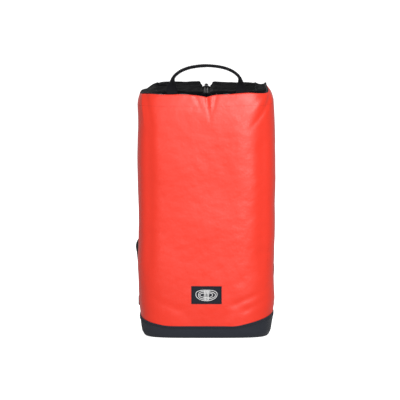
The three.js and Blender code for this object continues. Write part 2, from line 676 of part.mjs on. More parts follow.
// The straps' necks turn just behind the yoke, clear of it at both ends of their swing.
const YOKE_FACE_Y = wallDepthAt(0, STRAP_HEIGHT) + LAY_GAP + YOKE_THICKNESS;
const STRAP_AXIS_Y = YOKE_FACE_Y + 2 * LAY_GAP + STRAP_NECK / 2;
const PAD_FACE_Y = HALF_DEPTH + LAY_GAP + PAD_THICKNESS;
const STRAP_Y = PAD_FACE_Y + STRAP_STANDOFF + STRAP_THICKNESS / 2;

function strapCurve(sideSign) {
	const [top, low] = [STRAP_TOP_SPACING / 2, STRAP_LOW_SPACING / 2];
	const drop = STRAP_HEIGHT - STRAP_LOW_HEIGHT;
	const route = [
		[0, 0, 0], [0.08, 0.14, 0.45], [0.36, 0.4, 1], [0.78, 0.7, 1], [0.98, 0.9, 0.85], [1, 1, 0.8],
	];
	return new THREE.CatmullRomCurve3(route.map(([outward, down, stand]) => new THREE.Vector3(
		sideSign * THREE.MathUtils.lerp(top, low, outward),
		THREE.MathUtils.lerp(STRAP_AXIS_Y, STRAP_Y, stand),
		STRAP_HEIGHT - drop * down,
	)));
}

// The padded strap starts as a thin neck, rounded about the line that it swings on.
function addStrap(side, sideSign) {
	const curve = strapCurve(sideSign);
	const acrossX = () => new THREE.Vector3(1, 0, 0);
	const swell = (share) => THREE.MathUtils.smoothstep(share, 0, 0.2);
	const narrow = (share) => 1 - 0.45 * THREE.MathUtils.smoothstep(share, 0.8, 1);
	const width = (share) => STRAP_WIDTH * (0.7 + 0.3 * swell(share)) * narrow(share);
	const thickness = (share) => THREE.MathUtils.lerp(STRAP_NECK, STRAP_THICKNESS, swell(share)) * narrow(share);
	place(`shoulder_pad_${side}`, webbing(curve, 18, acrossX, width, thickness), MESH_PAD);
	addStrapWebbing(side, curve, thickness);
	addLadderLock(side, curve);
}

// A strip of webbing sewn along the outer face of the padded strap.
function addStrapWebbing(side, curve, padThickness) {
	const outside = steps(0.12, 0.97, 14).map((share) => {
		const stand = padThickness(share) / 2 + 2 * LAY_GAP + STRAP_WEBBING / 2;
		const tangent = curve.getTangentAt(share);
		const through = new THREE.Vector3(1, 0, 0).cross(tangent).normalize();
		if (through.y < 0) through.negate();
		return curve.getPointAt(share).addScaledVector(through, stand);
	});
	const strip = new THREE.CatmullRomCurve3(outside);
	const acrossX = () => new THREE.Vector3(1, 0, 0);
	const flat = webbing(strip, 14, acrossX, () => STRAP_WEBBING_WIDTH, () => STRAP_WEBBING);
	place(`strap_webbing_${side}`, flat, BLACK_WEBBING);
}

function lockMiddle(curve) {
	const end = curve.getPointAt(1);
	return new THREE.Vector3(end.x, end.y, end.z - 5 * GAP - LOCK_HEIGHT / 2);
}

function addLadderLock(side, curve) {
	const [w, h] = [LOCK_WIDTH / 2, LOCK_HEIGHT / 2];
	const outline = [
		[2 - w, -h], [w - 2, -h], [w, 2 - h], [w, h - 2],
		[w - 2, h], [2 - w, h], [-w, h - 2], [-w, 2 - h],
	];
	const slotHalf = STRAP_WEBBING_WIDTH / 2 + 1;
	const slots = [-0.42, 0.42].map((share) => {
		const middle = share * LOCK_HEIGHT * 0.6;
		return rectangle(-slotHalf, middle - LOCK_SLOT / 2, slotHalf, middle + LOCK_SLOT / 2);
	});
	const lock = plate(outline, LOCK_THICKNESS, slots).translate(0, 0, -LOCK_THICKNESS / 2).rotateX(Math.PI / 2);
	const middle = lockMiddle(curve);
	place(`ladder_lock_${side}`, lock.translate(middle.x, middle.y, middle.z), BLACK_PLASTIC);
}

// A short doubled tab is caught in each back corner seam, low down, and points outwards.
function tabTip(sideSign) {
	return new THREE.Vector3(sideSign * TAB_REACH, HALF_DEPTH * 1.02, TAB_HEIGHT);
}

function addLowerTab(side, sideSign) {
	const root = wallPoint(sideSign > 0 ? BACK_CORNER : 180 - BACK_CORNER, TAB_HEIGHT, -PIPING_RADIUS - GAP);
	root.x += sideSign * 1.5;
	root.y += 1.5;
	const curve = new THREE.CatmullRomCurve3([root, root.clone().lerp(tabTip(sideSign), 0.5), tabTip(sideSign)]);
	const upright = () => new THREE.Vector3(0, 0, 1);
	const tab = webbing(curve, 6, upright, (share) => LOWER_WEBBING_WIDTH * (1.3 - 0.3 * share), () => 3);
	place(`lower_strap_tab_${side}`, tab, BLACK_WEBBING);
}

// The adjusting webbing hangs slack from the buckle and bows outwards on its way to the tab.
function addLowerWebbing(side, sideSign, bow) {
	const lock = lockMiddle(strapCurve(sideSign));
	const start = lock.clone().setZ(lock.z - LOCK_HEIGHT / 2 - 3 * GAP);
	const end = tabTip(sideSign);
	end.z += LOWER_WEBBING_WIDTH / 2 + 2;
	end.x -= sideSign * 5;
	const route = bow.map(([outward, back, z]) => new THREE.Vector3(sideSign * outward, back, z));
	const curve = new THREE.CatmullRomCurve3([start, ...route, end]);
	const facingOut = new THREE.Vector3(0, 1, 0);
	const facingBack = new THREE.Vector3(1, 0, 0);
	const turn = (share) => facingBack.clone().lerp(facingOut, THREE.MathUtils.smoothstep(share, 0.02, 0.22));
	const strip = webbing(curve, 24, turn, () => LOWER_WEBBING_WIDTH, () => STRAP_WEBBING);
	place(`lower_webbing_${side}`, strip, BLACK_WEBBING);
}

// ---------------------------------------------------------------------------------------------
// Loops inside for tying in the rope's ends
// ---------------------------------------------------------------------------------------------

function addRopeLoop(name, height) {
	const face = wallDepthAt(0, height, WALL + GAP + LOOP_WEBBING / 2 + 1);
	const half = LOOP_SPAN / 2;
	const leg = half * 0.55;
	const curve = new THREE.CatmullRomCurve3([
		new THREE.Vector3(0, face, height + half),
		new THREE.Vector3(0, face - 1, height + leg + 3),
		new THREE.Vector3(0, face - LOOP_DEPTH * 0.7, height + leg),
		new THREE.Vector3(0, face - LOOP_DEPTH, height),
		new THREE.Vector3(0, face - LOOP_DEPTH * 0.7, height - leg),
		new THREE.Vector3(0, face - 1, height - leg - 3),
		new THREE.Vector3(0, face, height - half),
	], false, 'centripetal');
	const acrossX = () => new THREE.Vector3(1, 0, 0);
	place(name, webbing(curve, 18, acrossX, () => LOOP_WIDTH, () => LOOP_WEBBING), BLACK_WEBBING);
}

// ---------------------------------------------------------------------------------------------
// The whole bag
// ---------------------------------------------------------------------------------------------

const SIDES = [['left', -1], ['right', 1]];

// Points that each slack webbing passes, chosen by hand: outward from the middle, back and up.
const BOWS = {
	left: [[99, 121, 198], [112, 125, 190], [133, 124, 187], [144, 121, 172], [142, 114, 148], [138, 107, 108]],
	right: [[99, 121, 196], [108, 124, 180], [127, 121, 158], [138.5, 116, 132], [138, 108, 100]],
};

addWalls();
addBoot();
addBaseBoard();
addBaseSeamTape();
addTopBinding();
for (const [side, sideSign] of SIDES) {
	addFixedLid(side, sideSign);
	addFlap(side, sideSign);
}
addZipEnd('front', -1);
addZipEnd('back', 1);
addSlider();
addPull();
addHandle();
addLabel();
addBackPad();
for (const [side, sideSign] of SIDES) {
	addStrap(side, sideSign);
	addLowerTab(side, sideSign);
	addLowerWebbing(side, sideSign, BOWS[side]);
}
addRopeLoop('rope_loop_low', LOW_LOOP_HEIGHT);
addRopeLoop('rope_loop_high', BODY_HEIGHT - HIGH_LOOP_DROP);

export default bag;
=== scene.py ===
"""The looks of the rope storage bag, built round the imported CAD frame. Metres, +Z up, front faces -Y."""

import json
import math

import bpy
import numpy as np
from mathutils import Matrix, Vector


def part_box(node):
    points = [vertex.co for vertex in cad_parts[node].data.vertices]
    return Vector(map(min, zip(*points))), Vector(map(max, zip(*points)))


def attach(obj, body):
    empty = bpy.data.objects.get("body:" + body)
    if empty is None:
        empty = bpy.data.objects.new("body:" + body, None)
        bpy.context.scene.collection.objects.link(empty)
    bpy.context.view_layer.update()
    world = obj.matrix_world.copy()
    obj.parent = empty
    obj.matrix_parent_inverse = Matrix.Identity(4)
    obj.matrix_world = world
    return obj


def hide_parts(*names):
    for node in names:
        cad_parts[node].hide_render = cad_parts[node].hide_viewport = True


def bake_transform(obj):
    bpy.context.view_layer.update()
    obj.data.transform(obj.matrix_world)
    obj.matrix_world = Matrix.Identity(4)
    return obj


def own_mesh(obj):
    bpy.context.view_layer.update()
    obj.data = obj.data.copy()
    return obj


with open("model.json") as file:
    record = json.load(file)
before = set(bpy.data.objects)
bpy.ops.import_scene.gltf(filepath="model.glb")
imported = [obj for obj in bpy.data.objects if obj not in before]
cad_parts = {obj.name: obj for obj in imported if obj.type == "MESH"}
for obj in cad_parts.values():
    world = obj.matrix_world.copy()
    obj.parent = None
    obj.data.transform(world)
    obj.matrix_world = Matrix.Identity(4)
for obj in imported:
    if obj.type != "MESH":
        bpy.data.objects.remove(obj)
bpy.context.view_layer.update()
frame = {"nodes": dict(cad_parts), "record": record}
MM = 0.001

# --- Sizes read from the frame ---

wrap_low, wrap_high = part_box("front_and_side_wrap")
HALF_WIDTH = wrap_high.x
HALF_DEPTH = -wrap_low.y
HEIGHT = wrap_high.z
BOOT_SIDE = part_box("base_boot")[1].z
BOOT_FRONT = wrap_low.z
ZIP_HALF_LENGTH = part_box("zip_tape_left")[1].y
HEM_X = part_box("top_flap_right")[0].x
LID_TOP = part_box("top_panel_left")[1].z

# The back corner seams stand at this angle of the outline, in degrees from the side.
CORNER_ANGLE = 50
# The walls' girth by height, both as shares.
PROFILE = [(0, 0.9), (0.03, 0.94), (0.09, 0.965), (0.18, 0.983), (0.42, 0.995), (0.66, 1),
           (0.86, 0.992), (0.95, 0.975), (1, 0.94)]
BASE_SQUARENESS = 4
TOP_SQUARENESS = 5


def smoothstep(value, low, high):
    share = np.clip((np.asarray(value, float) - low) / (high - low), 0, 1)
    return share * share * (3 - 2 * share)


def catmull(points, count):
    """Points on a smooth curve through the given ones, as many between each pair."""
    p = np.array(points, float)
    spans = len(p) - 1
    t = np.linspace(0, spans, count)
    i = np.minimum(t.astype(int), spans - 1)
    f = (t - i)[:, None]
    a, b, c, d = (p[np.clip(i + k, 0, spans)] for k in (-1, 0, 1, 2))
    return 0.5 * (2 * b + (c - a) * f + (2 * a - 5 * b + 4 * c - d) * f**2 + (3 * b - a - 3 * c + d) * f**3)


def resample(points, count):
    """The same open path with its points at even distances."""
    p = np.array(points, float)
    length = np.r_[0, np.cumsum(np.linalg.norm(np.diff(p, axis=0), axis=1))]
    at = np.linspace(0, length[-1], count)
    return np.stack([np.interp(at, length, p[:, k]) for k in range(p.shape[1])], 1)


def full_turn(count):
    """Angles once round, without the last one that would repeat the first."""
    return np.linspace(0, 2 * math.pi, count, endpoint=False)


def rounded(turn, across_power, through_power):
    """A unit rectangle with rounded corners at the given angles; smaller powers make it squarer."""
    across = np.sign(np.cos(turn)) * np.abs(np.cos(turn)) ** across_power
    through = np.sign(np.sin(turn)) * np.abs(np.sin(turn)) ** through_power
    return across, through


def joint_place(name):
    return next(j["pos_m"] for j in frame["record"]["behaviour"]["joints"] if j["name"] == name)


def middle_of(node):
    low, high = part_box(node)
    return (low + high) / 2


profile_curve = catmull(PROFILE, 400)


def girth(z):
    return np.interp(np.clip(z / HEIGHT, 0, 1), profile_curve[:, 0], profile_curve[:, 1])


def squareness(z):
    return BASE_SQUARENESS + (TOP_SQUARENESS - BASE_SQUARENESS) * np.clip(z / HEIGHT, 0, 1)


class Outline:
    """The walls' outline at one height, by distance from the middle of the front, + towards +X."""

    def __init__(self, z, inset=0.0):
        power = self.power = squareness(z)
        self.half_width = HALF_WIDTH * girth(z) - inset
        self.half_depth = HALF_DEPTH * girth(z) - inset
        # Two turns, so that distances past the middle of the back still have a place.
        angle = np.radians(np.linspace(-270, 450, 2881))
        cos, sin = np.cos(angle), np.sin(angle)
        radius = 1 / self.reach(cos, sin)
        self.angle = angle
        self.x, self.y = radius * cos, radius * sin
        step = np.hypot(np.diff(self.x), np.diff(self.y))
        along = np.r_[0, np.cumsum(step)]
        front = np.interp(math.radians(-90), angle, along)
        self.at = along - front
        self.around = along[-1] / 4
        corner = math.radians(CORNER_ANGLE)
        corner_x = self.half_width * math.cos(corner) ** (2 / power)
        corner_y = self.half_depth * math.sin(corner) ** (2 / power)
        self.corner = float(np.interp(math.atan2(corner_y, corner_x), angle, self.at))

    def reach(self, x, y):
        """How far out a place is, as a share of the way to the outline."""
        across, along = np.abs(x / self.half_width), np.abs(y / self.half_depth)
        return (across**self.power + along**self.power) ** (1 / self.power)

    def points(self, distance):
        x = np.interp(distance, self.at, self.x)
        y = np.interp(distance, self.at, self.y)
        return x, y

    def normals(self, x, y):
        nx = np.sign(x) * np.abs(x / self.half_width) ** (self.power - 1) / self.half_width
        ny = np.sign(y) * np.abs(y / self.half_depth) ** (self.power - 1) / self.half_depth
        size = np.hypot(nx, ny)
        return nx / size, ny / size


def wall_depth(x, z):
    """How far the front or back face is from the centre plane, at a place across the bag."""
    power = squareness(z)
    across = np.clip(np.abs(x) / (HALF_WIDTH * girth(z)), 0, 1)
    return HALF_DEPTH * girth(z) * (1 - across**power) ** (1 / power)


# --- Relief of soft cloth ---


def waves(u, v, seed, count, longest, shortest, stretch=(1, 1)):
    """A smooth random field between about -1 and 1, with features between the two lengths."""
    draw = np.random.default_rng(seed)
    total = np.zeros_like(u)
    for _ in range(count):
        length = shortest * (longest / shortest) ** draw.random()
        turn, phase = draw.random(2) * 2 * math.pi
        along = (u / stretch[0] * math.cos(turn) + v / stretch[1] * math.sin(turn)) / length
        total += np.cos(2 * math.pi * along + phase) * (length / longest) ** 0.6
    return total / math.sqrt(count)


def crease(u, v, start, end, width, height):
    """A ridge, or with a negative height a valley, from start to end on the cloth, fading at its ends."""
    (u0, v0), (u1, v1) = start, end
    du, dv = u1 - u0, v1 - v0
    size = math.hypot(du, dv)
    share = ((u - u0) * du + (v - v0) * dv) / size**2
    off = ((u - u0) * dv - (v - v0) * du) / size
    near = np.clip(share, 0, 1)
    beyond = (share - near) * size
    fade = 1 - 0.75 * near
    return height * fade * np.exp(-((off / width) ** 2) - (beyond / (2 * width)) ** 2)


def bump(value, middle, width):
    return np.exp(-(((value - middle) / width) ** 2))


# --- Mesh building ---


def unit(vectors):
    return vectors / np.maximum(np.linalg.norm(vectors, axis=-1, keepdims=True), 1e-12)


def grid_normals(points, loop_u=False):
    if loop_u:
        around = np.concatenate([points[-1:], points, points[:1]])
        du = around[2:] - around[:-2]
    else:
        du = np.gradient(points, axis=0)
    return unit(np.cross(du, np.gradient(points, axis=1)))


def lengths(path):
    return np.r_[0, np.cumsum(np.linalg.norm(np.diff(path, axis=0), axis=1))]


# Powers that give webbing a flat face and a soft edge.
WEBBING_EDGE = (0.3, 0.45)
# How much of a seam's pitch each stitch covers.
STITCH_FILL = 0.72


def crossed_box(near, far, bottom, top, count):
    """The lines of a sewn box with a cross in it, as points across and up."""
    corners = [(near, bottom), (far, bottom), (far, top), (near, top), (near, bottom), (far, top),
               (far, bottom), (near, top)]
    return [resample(pair, count) for pair in zip(corners, corners[1:])]


class Builder:
    """Collects the sheets, strips and stitches of one piece and makes one mesh object of them."""

    def __init__(self, name):
        self.name = name
        self.points, self.uvs, self.faces, self.slots = [], [], [], []
        self.count = 0

    def add(self, points, uvs, faces, slots):
        self.points.append(np.asarray(points, float).reshape(-1, 3))
        self.uvs.append(np.asarray(uvs, float).reshape(-1, 2))
        self.faces.append(np.asarray(faces, int) + self.count)
        self.slots.append(slots)
        self.count += len(self.points[-1])

    def grid(self, points, uv, slot=0, flip=False, loop_u=False, loop_v=False):
        """A surface through a grid of points; slot is one number, or one for each face along v."""
        nu, nv = points.shape[:2]
        i = np.arange(nu if loop_u else nu - 1)[:, None]
        j = np.arange(nv if loop_v else nv - 1)[None, :]
        i2, j2 = (i + 1) % nu, (j + 1) % nv
        quads = np.stack(np.broadcast_arrays(i * nv + j, i2 * nv + j, i2 * nv + j2, i * nv + j2), -1)
        slots = np.broadcast_to(slot, quads.shape[:2]).ravel()
        quads = quads.reshape(-1, 4)
        self.add(points, uv, quads[:, ::-1] if flip else quads, slots)

    def cloth(self, points, uv, thickness, slot=0, inner=0, flip=False, loop_u=False):
        """A sheet with a face on each side and soft edges; its thickness goes in from the given face."""
        back = points - grid_normals(points, loop_u) * thickness * (-1 if flip else 1)
        middle = (points + back) / 2
        soft = thickness * 0.4
        first = middle[:, :1] + unit(middle[:, :1] - middle[:, 1:2]) * soft
        last = middle[:, -1:] + unit(middle[:, -1:] - middle[:, -2:-1]) * soft
        section = np.concatenate([first, points, last, back[:, ::-1]], 1)
        section_uv = np.concatenate([uv[:, :1], uv, uv[:, -1:], uv[:, ::-1]], 1)
        rows = points.shape[1]
        slots = np.r_[np.full(rows + 1, slot), np.full(rows + 1, inner)]
        if not loop_u:
            flat = np.concatenate([first, middle, last, middle[:, ::-1]], 1)
            start = flat[:1] + unit(flat[:1] - flat[1:2]) * soft
            end = flat[-1:] + unit(flat[-1:] - flat[-2:-1]) * soft
            section = np.concatenate([start, section, end])
            section_uv = np.concatenate([section_uv[:1], section_uv, section_uv[-1:]])
        self.grid(section, section_uv, slots, flip, loop_u, loop_v=True)

    def ends(self, points, uv, slot):
        """Closes both ends of a tube made of rings."""
        sides = points.shape[1]
        k = np.arange(sides)
        for end, order in ((0, (1, 0)), (-1, (0, 1))):
            pair = np.stack([k, (k + 1) % sides])[list(order)]
            fan = np.stack([pair[0], pair[1], np.full(sides, sides), np.full(sides, sides)], 1)
            ring = np.vstack([points[end], points[end].mean(0)])
            self.add(ring, np.vstack([uv[end], uv[end].mean(0)]), fan, np.full(sides, slot))

    def sweep(self, path, across, section, slot=0):
        """A cross-section moved along a path; section(share) gives its points across and through.
        Returns the direction through the piece at each point of the path."""
        path = np.asarray(path, float)
        tangent = unit(np.gradient(path, axis=0))
        across = np.broadcast_to(np.asarray(across, float), path.shape)
        across = unit(across - tangent * (across * tangent).sum(1, keepdims=True))
        through = np.cross(tangent, across)
        length = lengths(path)
        outline = np.stack([section(share) for share in length / length[-1]])
        points = (path[:, None] + across[:, None] * outline[..., :1] + through[:, None] * outline[..., 1:])
        uv = np.stack(np.broadcast_arrays(length[:, None], outline[..., 0]), -1)
        self.grid(points, uv, slot, loop_v=True)
        self.ends(points, uv, slot)
        return through

    def strip(self, path, across, width, thickness):
        """Flat webbing with soft edges; its width may be a function of the share of its length."""
        side, rise = rounded(full_turn(20), *WEBBING_EDGE)

        def section(share):
            wide = width(share) if callable(width) else width
            return np.stack([wide / 2 * side, thickness / 2 * rise], 1)

        return self.sweep(path, across, section)

    def tube(self, path, radius, slot=0, sides=10, up=(0, 0, 1)):
        path = np.asarray(path, float)
        radius = np.broadcast_to(radius, len(path))
        ring = np.stack(rounded(full_turn(sides), 1, 1), 1)
        length = lengths(path)

        def section(share):
            return ring * np.interp(share * length[-1], length, radius)

        across = np.cross(unit(np.gradient(path, axis=0)), np.asarray(up, float))
        self.sweep(path, across, section, slot)

    def stitches(self, path, normal, slot, pitch=3.2 * MM, thread=0.45 * MM):
        """A row of sewn stitches along a path on a surface with the given outward normals."""
        path = np.asarray(path, float)
        normal = np.broadcast_to(np.asarray(normal, float), path.shape)
        length = lengths(path)
        number = max(int(length[-1] / pitch), 1)
        shares = np.linspace(-0.5, 0.5, 5) * STITCH_FILL
        at = (np.arange(number)[:, None] + 0.5 + shares[None]) * length[-1] / number
        spine = np.stack([np.interp(at, length, path[:, k]) for k in range(3)], -1)
        up = unit(np.stack([np.interp(at, length, normal[:, k]) for k in range(3)], -1))
        along = unit(spine[:, -1] - spine[:, 0])
        side = np.cross(np.repeat(along[:, None], 5, 1), up)
        sink = np.array([-0.9, 0.25, 0.55, 0.25, -0.9])[None, :, None] * thread
        size = np.array([0.5, 0.95, 1, 0.95, 0.5])[None, :, None, None] * thread
        turn = full_turn(6)[:, None]
        ring = side[:, :, None] * np.cos(turn) + up[:, :, None] * np.sin(turn)
        for points in (spine + up * sink)[:, :, None] + ring * size:
            self.grid(points, np.zeros((5, 6, 2)), slot, flip=True, loop_v=True)

    def make(self, materials, body, replaces=()):
        mesh = bpy.data.meshes.new(self.name)
        uvs = np.vstack(self.uvs)
        faces = [list(dict.fromkeys(face)) for block in self.faces for face in block.tolist()]
        mesh.from_pydata(np.vstack(self.points).tolist(), [], faces)
        layer = mesh.uv_layers.new(name="surface")
        loops = np.zeros(len(mesh.loops), np.int32)
        mesh.loops.foreach_get("vertex_index", loops)
        layer.data.foreach_set("uv", uvs[loops].ravel())
        mesh.polygons.foreach_set("material_index", np.concatenate(self.slots).astype(np.int32))
        mesh.polygons.foreach_set("use_smooth", np.ones(len(mesh.polygons), bool))
        for material in materials:
            mesh.materials.append(material)
        obj = bpy.data.objects.new(self.name, mesh)
        bpy.context.scene.collection.objects.link(obj)
        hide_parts(*replaces)
        if body:
            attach(obj, body)
        return obj


# --- Materials ---


class Look:
    """A Principled material with small helpers for procedural patterns in the cloth's own metres."""

    def __init__(self, name, color, roughness, metallic=0.0, specular=0.5, sheen=0.0, coat=0.0):
        self.material = bpy.data.materials.new(name)
        self.material.use_nodes = True
        self.tree = self.material.node_tree
        self.shader = self.tree.nodes["Principled BSDF"]
        self.set("Base Color", (*color, 1))
        self.set("Roughness", roughness)
        self.set("Metallic", metallic)
        self.set("Specular IOR Level", specular)
        self.set("Sheen Weight", sheen)
        self.set("Sheen Roughness", 0.5)
        self.set("Coat Weight", coat)
        self.set("Coat Roughness", 0.25)
        self.color = color
        self.heights = []

    def set(self, socket, value):
        self.shader.inputs[socket].default_value = value

    def node(self, kind, **values):
        node = self.tree.nodes.new(kind)
        for key, value in values.items():
            setattr(node, key, value)
        return node

    def link(self, a, b):
        self.tree.links.new(a, b)

    def math(self, operation, a, b=None):
        node = self.node("ShaderNodeMath", operation=operation)
        for socket, value in zip(node.inputs, (a, b)):
            if value is None:
                continue
            if isinstance(value, (int, float)):
                socket.default_value = value
            else:
                self.link(value, socket)
        return node.outputs[0]

    def place(self, space="UV"):
        if space == "UV":
            return self.node("ShaderNodeUVMap", uv_map="surface").outputs[0]
        return self.node("ShaderNodeTexCoord").outputs["Object"]

    def axes(self):
        split = self.node("ShaderNodeSeparateXYZ")
        self.link(self.place(), split.inputs[0])
        return split.outputs[0], split.outputs[1]

    def noise(self, size, detail=3.0, roughness=0.6, space="UV"):
        node = self.node("ShaderNodeTexNoise")
        node.inputs["Scale"].default_value = 1 / size
        node.inputs["Detail"].default_value = detail
        node.inputs["Roughness"].default_value = roughness
        self.link(self.place(space), node.inputs["Vector"])
        return node.outputs["Fac"]

    def ramp(self, value, low, high, at=(0.3, 0.7)):
        node = self.node("ShaderNodeMapRange")
        node.inputs["From Min"].default_value = at[0]
        node.inputs["From Max"].default_value = at[1]
        node.inputs["To Min"].default_value = low
        node.inputs["To Max"].default_value = high
        self.link(value, node.inputs["Value"])
        return node.outputs["Result"]

    def wave(self, axis, pitch):
        turned = self.math("MULTIPLY", axis, 2 * math.pi / pitch)
        return self.math("SINE", turned)

    def weave(self, pitch):
        u, v = self.axes()
        return self.math("MULTIPLY", self.wave(u, pitch), self.wave(v, pitch))

    def raise_by(self, value, depth):
        """Adds to the surface's relief; depth is in metres for a value that runs from 0 to 1."""
        self.heights.append((value, depth))

    def tint(self, value, darker, lighter):
        """Varies the colour between two shares of the base colour."""
        node = self.node("ShaderNodeMix", data_type="RGBA")
        low = [c * darker for c in self.color] + [1]
        high = [min(c * lighter, 1) for c in self.color] + [1]
        node.inputs["A"].default_value = low
        node.inputs["B"].default_value = high
        self.link(value, node.inputs["Factor"])
        self.link(node.outputs["Result"], self.shader.inputs["Base Color"])

    def roughen(self, value, low, high):
        self.link(self.ramp(value, low, high), self.shader.inputs["Roughness"])

    def done(self):
        normal = None
        for value, depth in self.heights:
            node = self.node("ShaderNodeBump")
            node.inputs["Strength"].default_value = 1
            node.inputs["Distance"].default_value = depth
            self.link(value, node.inputs["Height"])
            if normal:
                self.link(normal, node.inputs["Normal"])
            normal = node.outputs["Normal"]
        if normal:
            self.link(normal, self.shader.inputs["Normal"])
        return self.material


def coated_red():
    look = Look("coated_red", (0.93, 0.036, 0.013), 0.38, specular=0.5, coat=0.08)
    look.tint(look.noise(70 * MM, 4), 0.95, 1.04)
    look.roughen(look.noise(16 * MM, 5), 0.36, 0.46)
    look.raise_by(look.noise(22 * MM, 4, 0.55), 0.9 * MM)
    look.raise_by(look.noise(4 * MM, 3), 0.05 * MM)
    look.raise_by(look.weave(1.5 * MM), 0.006 * MM)
    return look.done()


def lining_cloth():
    look = Look("lining_cloth", (0.10, 0.105, 0.115), 0.7, specular=0.3)
    look.tint(look.noise(30 * MM), 0.85, 1.15)
    look.raise_by(look.noise(12 * MM, 4), 0.6 * MM)
    look.raise_by(look.weave(0.9 * MM), 0.03 * MM)
    return look.done()


def black_nylon():
    look = Look("black_nylon", (0.004, 0.0042, 0.005), 0.6, specular=0.008)
    look.roughen(look.noise(14 * MM, 5), 0.45, 0.65)
    look.raise_by(look.noise(17 * MM, 5, 0.6), 1.3 * MM)
    look.raise_by(look.noise(5 * MM, 3, 0.5), 0.22 * MM)
    look.raise_by(look.weave(0.8 * MM), 0.012 * MM)
    return look.done()


def slate_cloth(name, color, pitch):
    look = Look(name, color, 0.84, specular=0.2, sheen=0.08)
    look.tint(look.noise(1.1 * MM, 2), 0.72, 1.3)
    look.raise_by(look.noise(25 * MM, 3), 0.5 * MM)
    look.raise_by(look.weave(pitch), 0.10 * MM)
    look.raise_by(look.noise(0.9 * MM, 2), 0.08 * MM)
    return look.done()


def ribbed_webbing():
    """Flat webbing: ribs along its length with a slanting weave that turns at each rib."""
    look = Look("black_webbing", (0.006, 0.006, 0.0078), 0.7, specular=0.12, sheen=0.015)
    pitch, rib = 2.4 * MM, 3.2 * MM
    along, across = look.axes()
    zigzag = look.math("PINGPONG", across, rib)
    slant = look.wave(look.math("ADD", along, zigzag), pitch)
    ribs = look.math("ABSOLUTE", look.wave(across, 2 * rib))
    # Half of the slant, to which the node adds its own 0.5, runs from 0 to 1. The tint paints the real
    # slanting weave lighter on its ridges and darker in its grooves: painted highlight and painted shade.
    look.tint(look.math("MULTIPLY_ADD", slant, 0.5), 0.65, 1.6)
    look.raise_by(slant, 0.10 * MM)
    look.raise_by(ribs, 0.18 * MM)
    look.raise_by(look.noise(3 * MM), 0.08 * MM)
    return look.done()


def binding_tape():
    look = Look("binding_tape", (0.006, 0.006, 0.0075), 0.65, specular=0.12, sheen=0.02)
    along, _ = look.axes()
    ribs = look.wave(along, 1.3 * MM)
    look.tint(look.noise(2 * MM), 0.7, 1.5)
    look.raise_by(ribs, 0.06 * MM)
    look.raise_by(look.noise(6 * MM), 0.2 * MM)
    return look.done()


def air_mesh():
    look = Look("air_mesh", (0.013, 0.0135, 0.016), 0.85, specular=0.2, sheen=0.12)
    cells = look.node("ShaderNodeTexVoronoi", feature="F1")
    cells.inputs["Scale"].default_value = 1 / (2.1 * MM)
    cells.inputs["Randomness"].default_value = 0.12
    look.link(look.place("Object"), cells.inputs["Vector"])
    holes = look.ramp(cells.outputs["Distance"], 0, 1, (0.12, 0.42))
    # The holes are painted darker and the threads between them lighter: painted shade in the holes.
    look.tint(holes, 0.25, 1.5)
    look.raise_by(holes, 0.45 * MM)
    look.raise_by(look.noise(30 * MM, space="Object"), 0.8 * MM)
    return look.done()


def zip_cloth():
    look = Look("zip_cloth", (0.005, 0.005, 0.007), 0.7, specular=0.02)
    along, across = look.axes()
    look.tint(look.wave(across, 1.0 * MM), 0.7, 1.4)
    look.raise_by(look.wave(across, 1.0 * MM), 0.08 * MM)
    look.raise_by(look.wave(along, 0.8 * MM), 0.04 * MM)
    return look.done()


def coil_plastic():
    look = Look("coil_plastic", (0.012, 0.012, 0.014), 0.4, specular=0.25)
    look.roughen(look.noise(2 * MM, space="Object"), 0.24, 0.4)
    return look.done()


def dark_metal():
    look = Look("dark_metal", (0.012, 0.012, 0.014), 0.42, metallic=0.3, specular=0.25)
    look.roughen(look.noise(3 * MM, 4, space="Object"), 0.24, 0.42)
    look.raise_by(look.noise(0.6 * MM, space="Object"), 0.02 * MM)
    return look.done()


def buckle_plastic():
    look = Look("buckle_plastic", (0.009, 0.009, 0.011), 0.45, specular=0.3)
    look.roughen(look.noise(5 * MM, 4, space="Object"), 0.34, 0.5)
    look.raise_by(look.noise(0.45 * MM, 2, space="Object"), 0.03 * MM)
    return look.done()


def board_plastic():
    look = Look("board_plastic", (0.05, 0.05, 0.055), 0.6, specular=0.35)
    look.raise_by(look.noise(1.2 * MM, 3, space="Object"), 0.05 * MM)
    look.tint(look.noise(40 * MM, 4, space="Object"), 0.8, 1.2)
    return look.done()


def thread(name, color):
    look = Look(name, color, 0.55, specular=0.15, sheen=0.03)
    look.tint(look.noise(0.8 * MM, space="Object"), 0.8, 1.25)
    return look.done()


RED = coated_red()
LINING = lining_cloth()
NYLON = black_nylon()
BOOT = slate_cloth("boot_cloth", (0.026, 0.029, 0.039), 1.3 * MM)
LABEL = slate_cloth("label_cloth", (0.019, 0.021, 0.030), 0.9 * MM)
WEBBING = ribbed_webbing()
TAPE = binding_tape()
MESH = air_mesh()
ZIP_CLOTH = zip_cloth()
COIL = coil_plastic()
METAL = dark_metal()
PLASTIC = buckle_plastic()
BOARD = board_plastic()
# A teal-grey cloth whose colour is a painted highlight along the lid's front edge.
HEM_HIGHLIGHT_CLOTH = slate_cloth("facing_cloth", (0.085, 0.125, 0.14), 1.1 * MM)
BLACK_THREAD = thread("black_thread", (0.012, 0.012, 0.014))
RED_THREAD = thread("red_thread", (0.55, 0.03, 0.02))
WHITE_THREAD = thread("white_thread", (0.86, 0.86, 0.85))

# --- Walls: the wrap, the back cloth, the boot and their seams ---

CLOTH = 1.4 * MM
SIDES = (("left", -1), ("right", 1))
MIDDLE_RING = Outline(0.5 * HEIGHT)
WALL_COLUMNS = 320
SEAM_INSET = 1.9 * MM  # how far each wall's edge stays from the corner seam
SEAM_LAP = 1.5 * MM  # how far the walls reach down behind the boot's edge


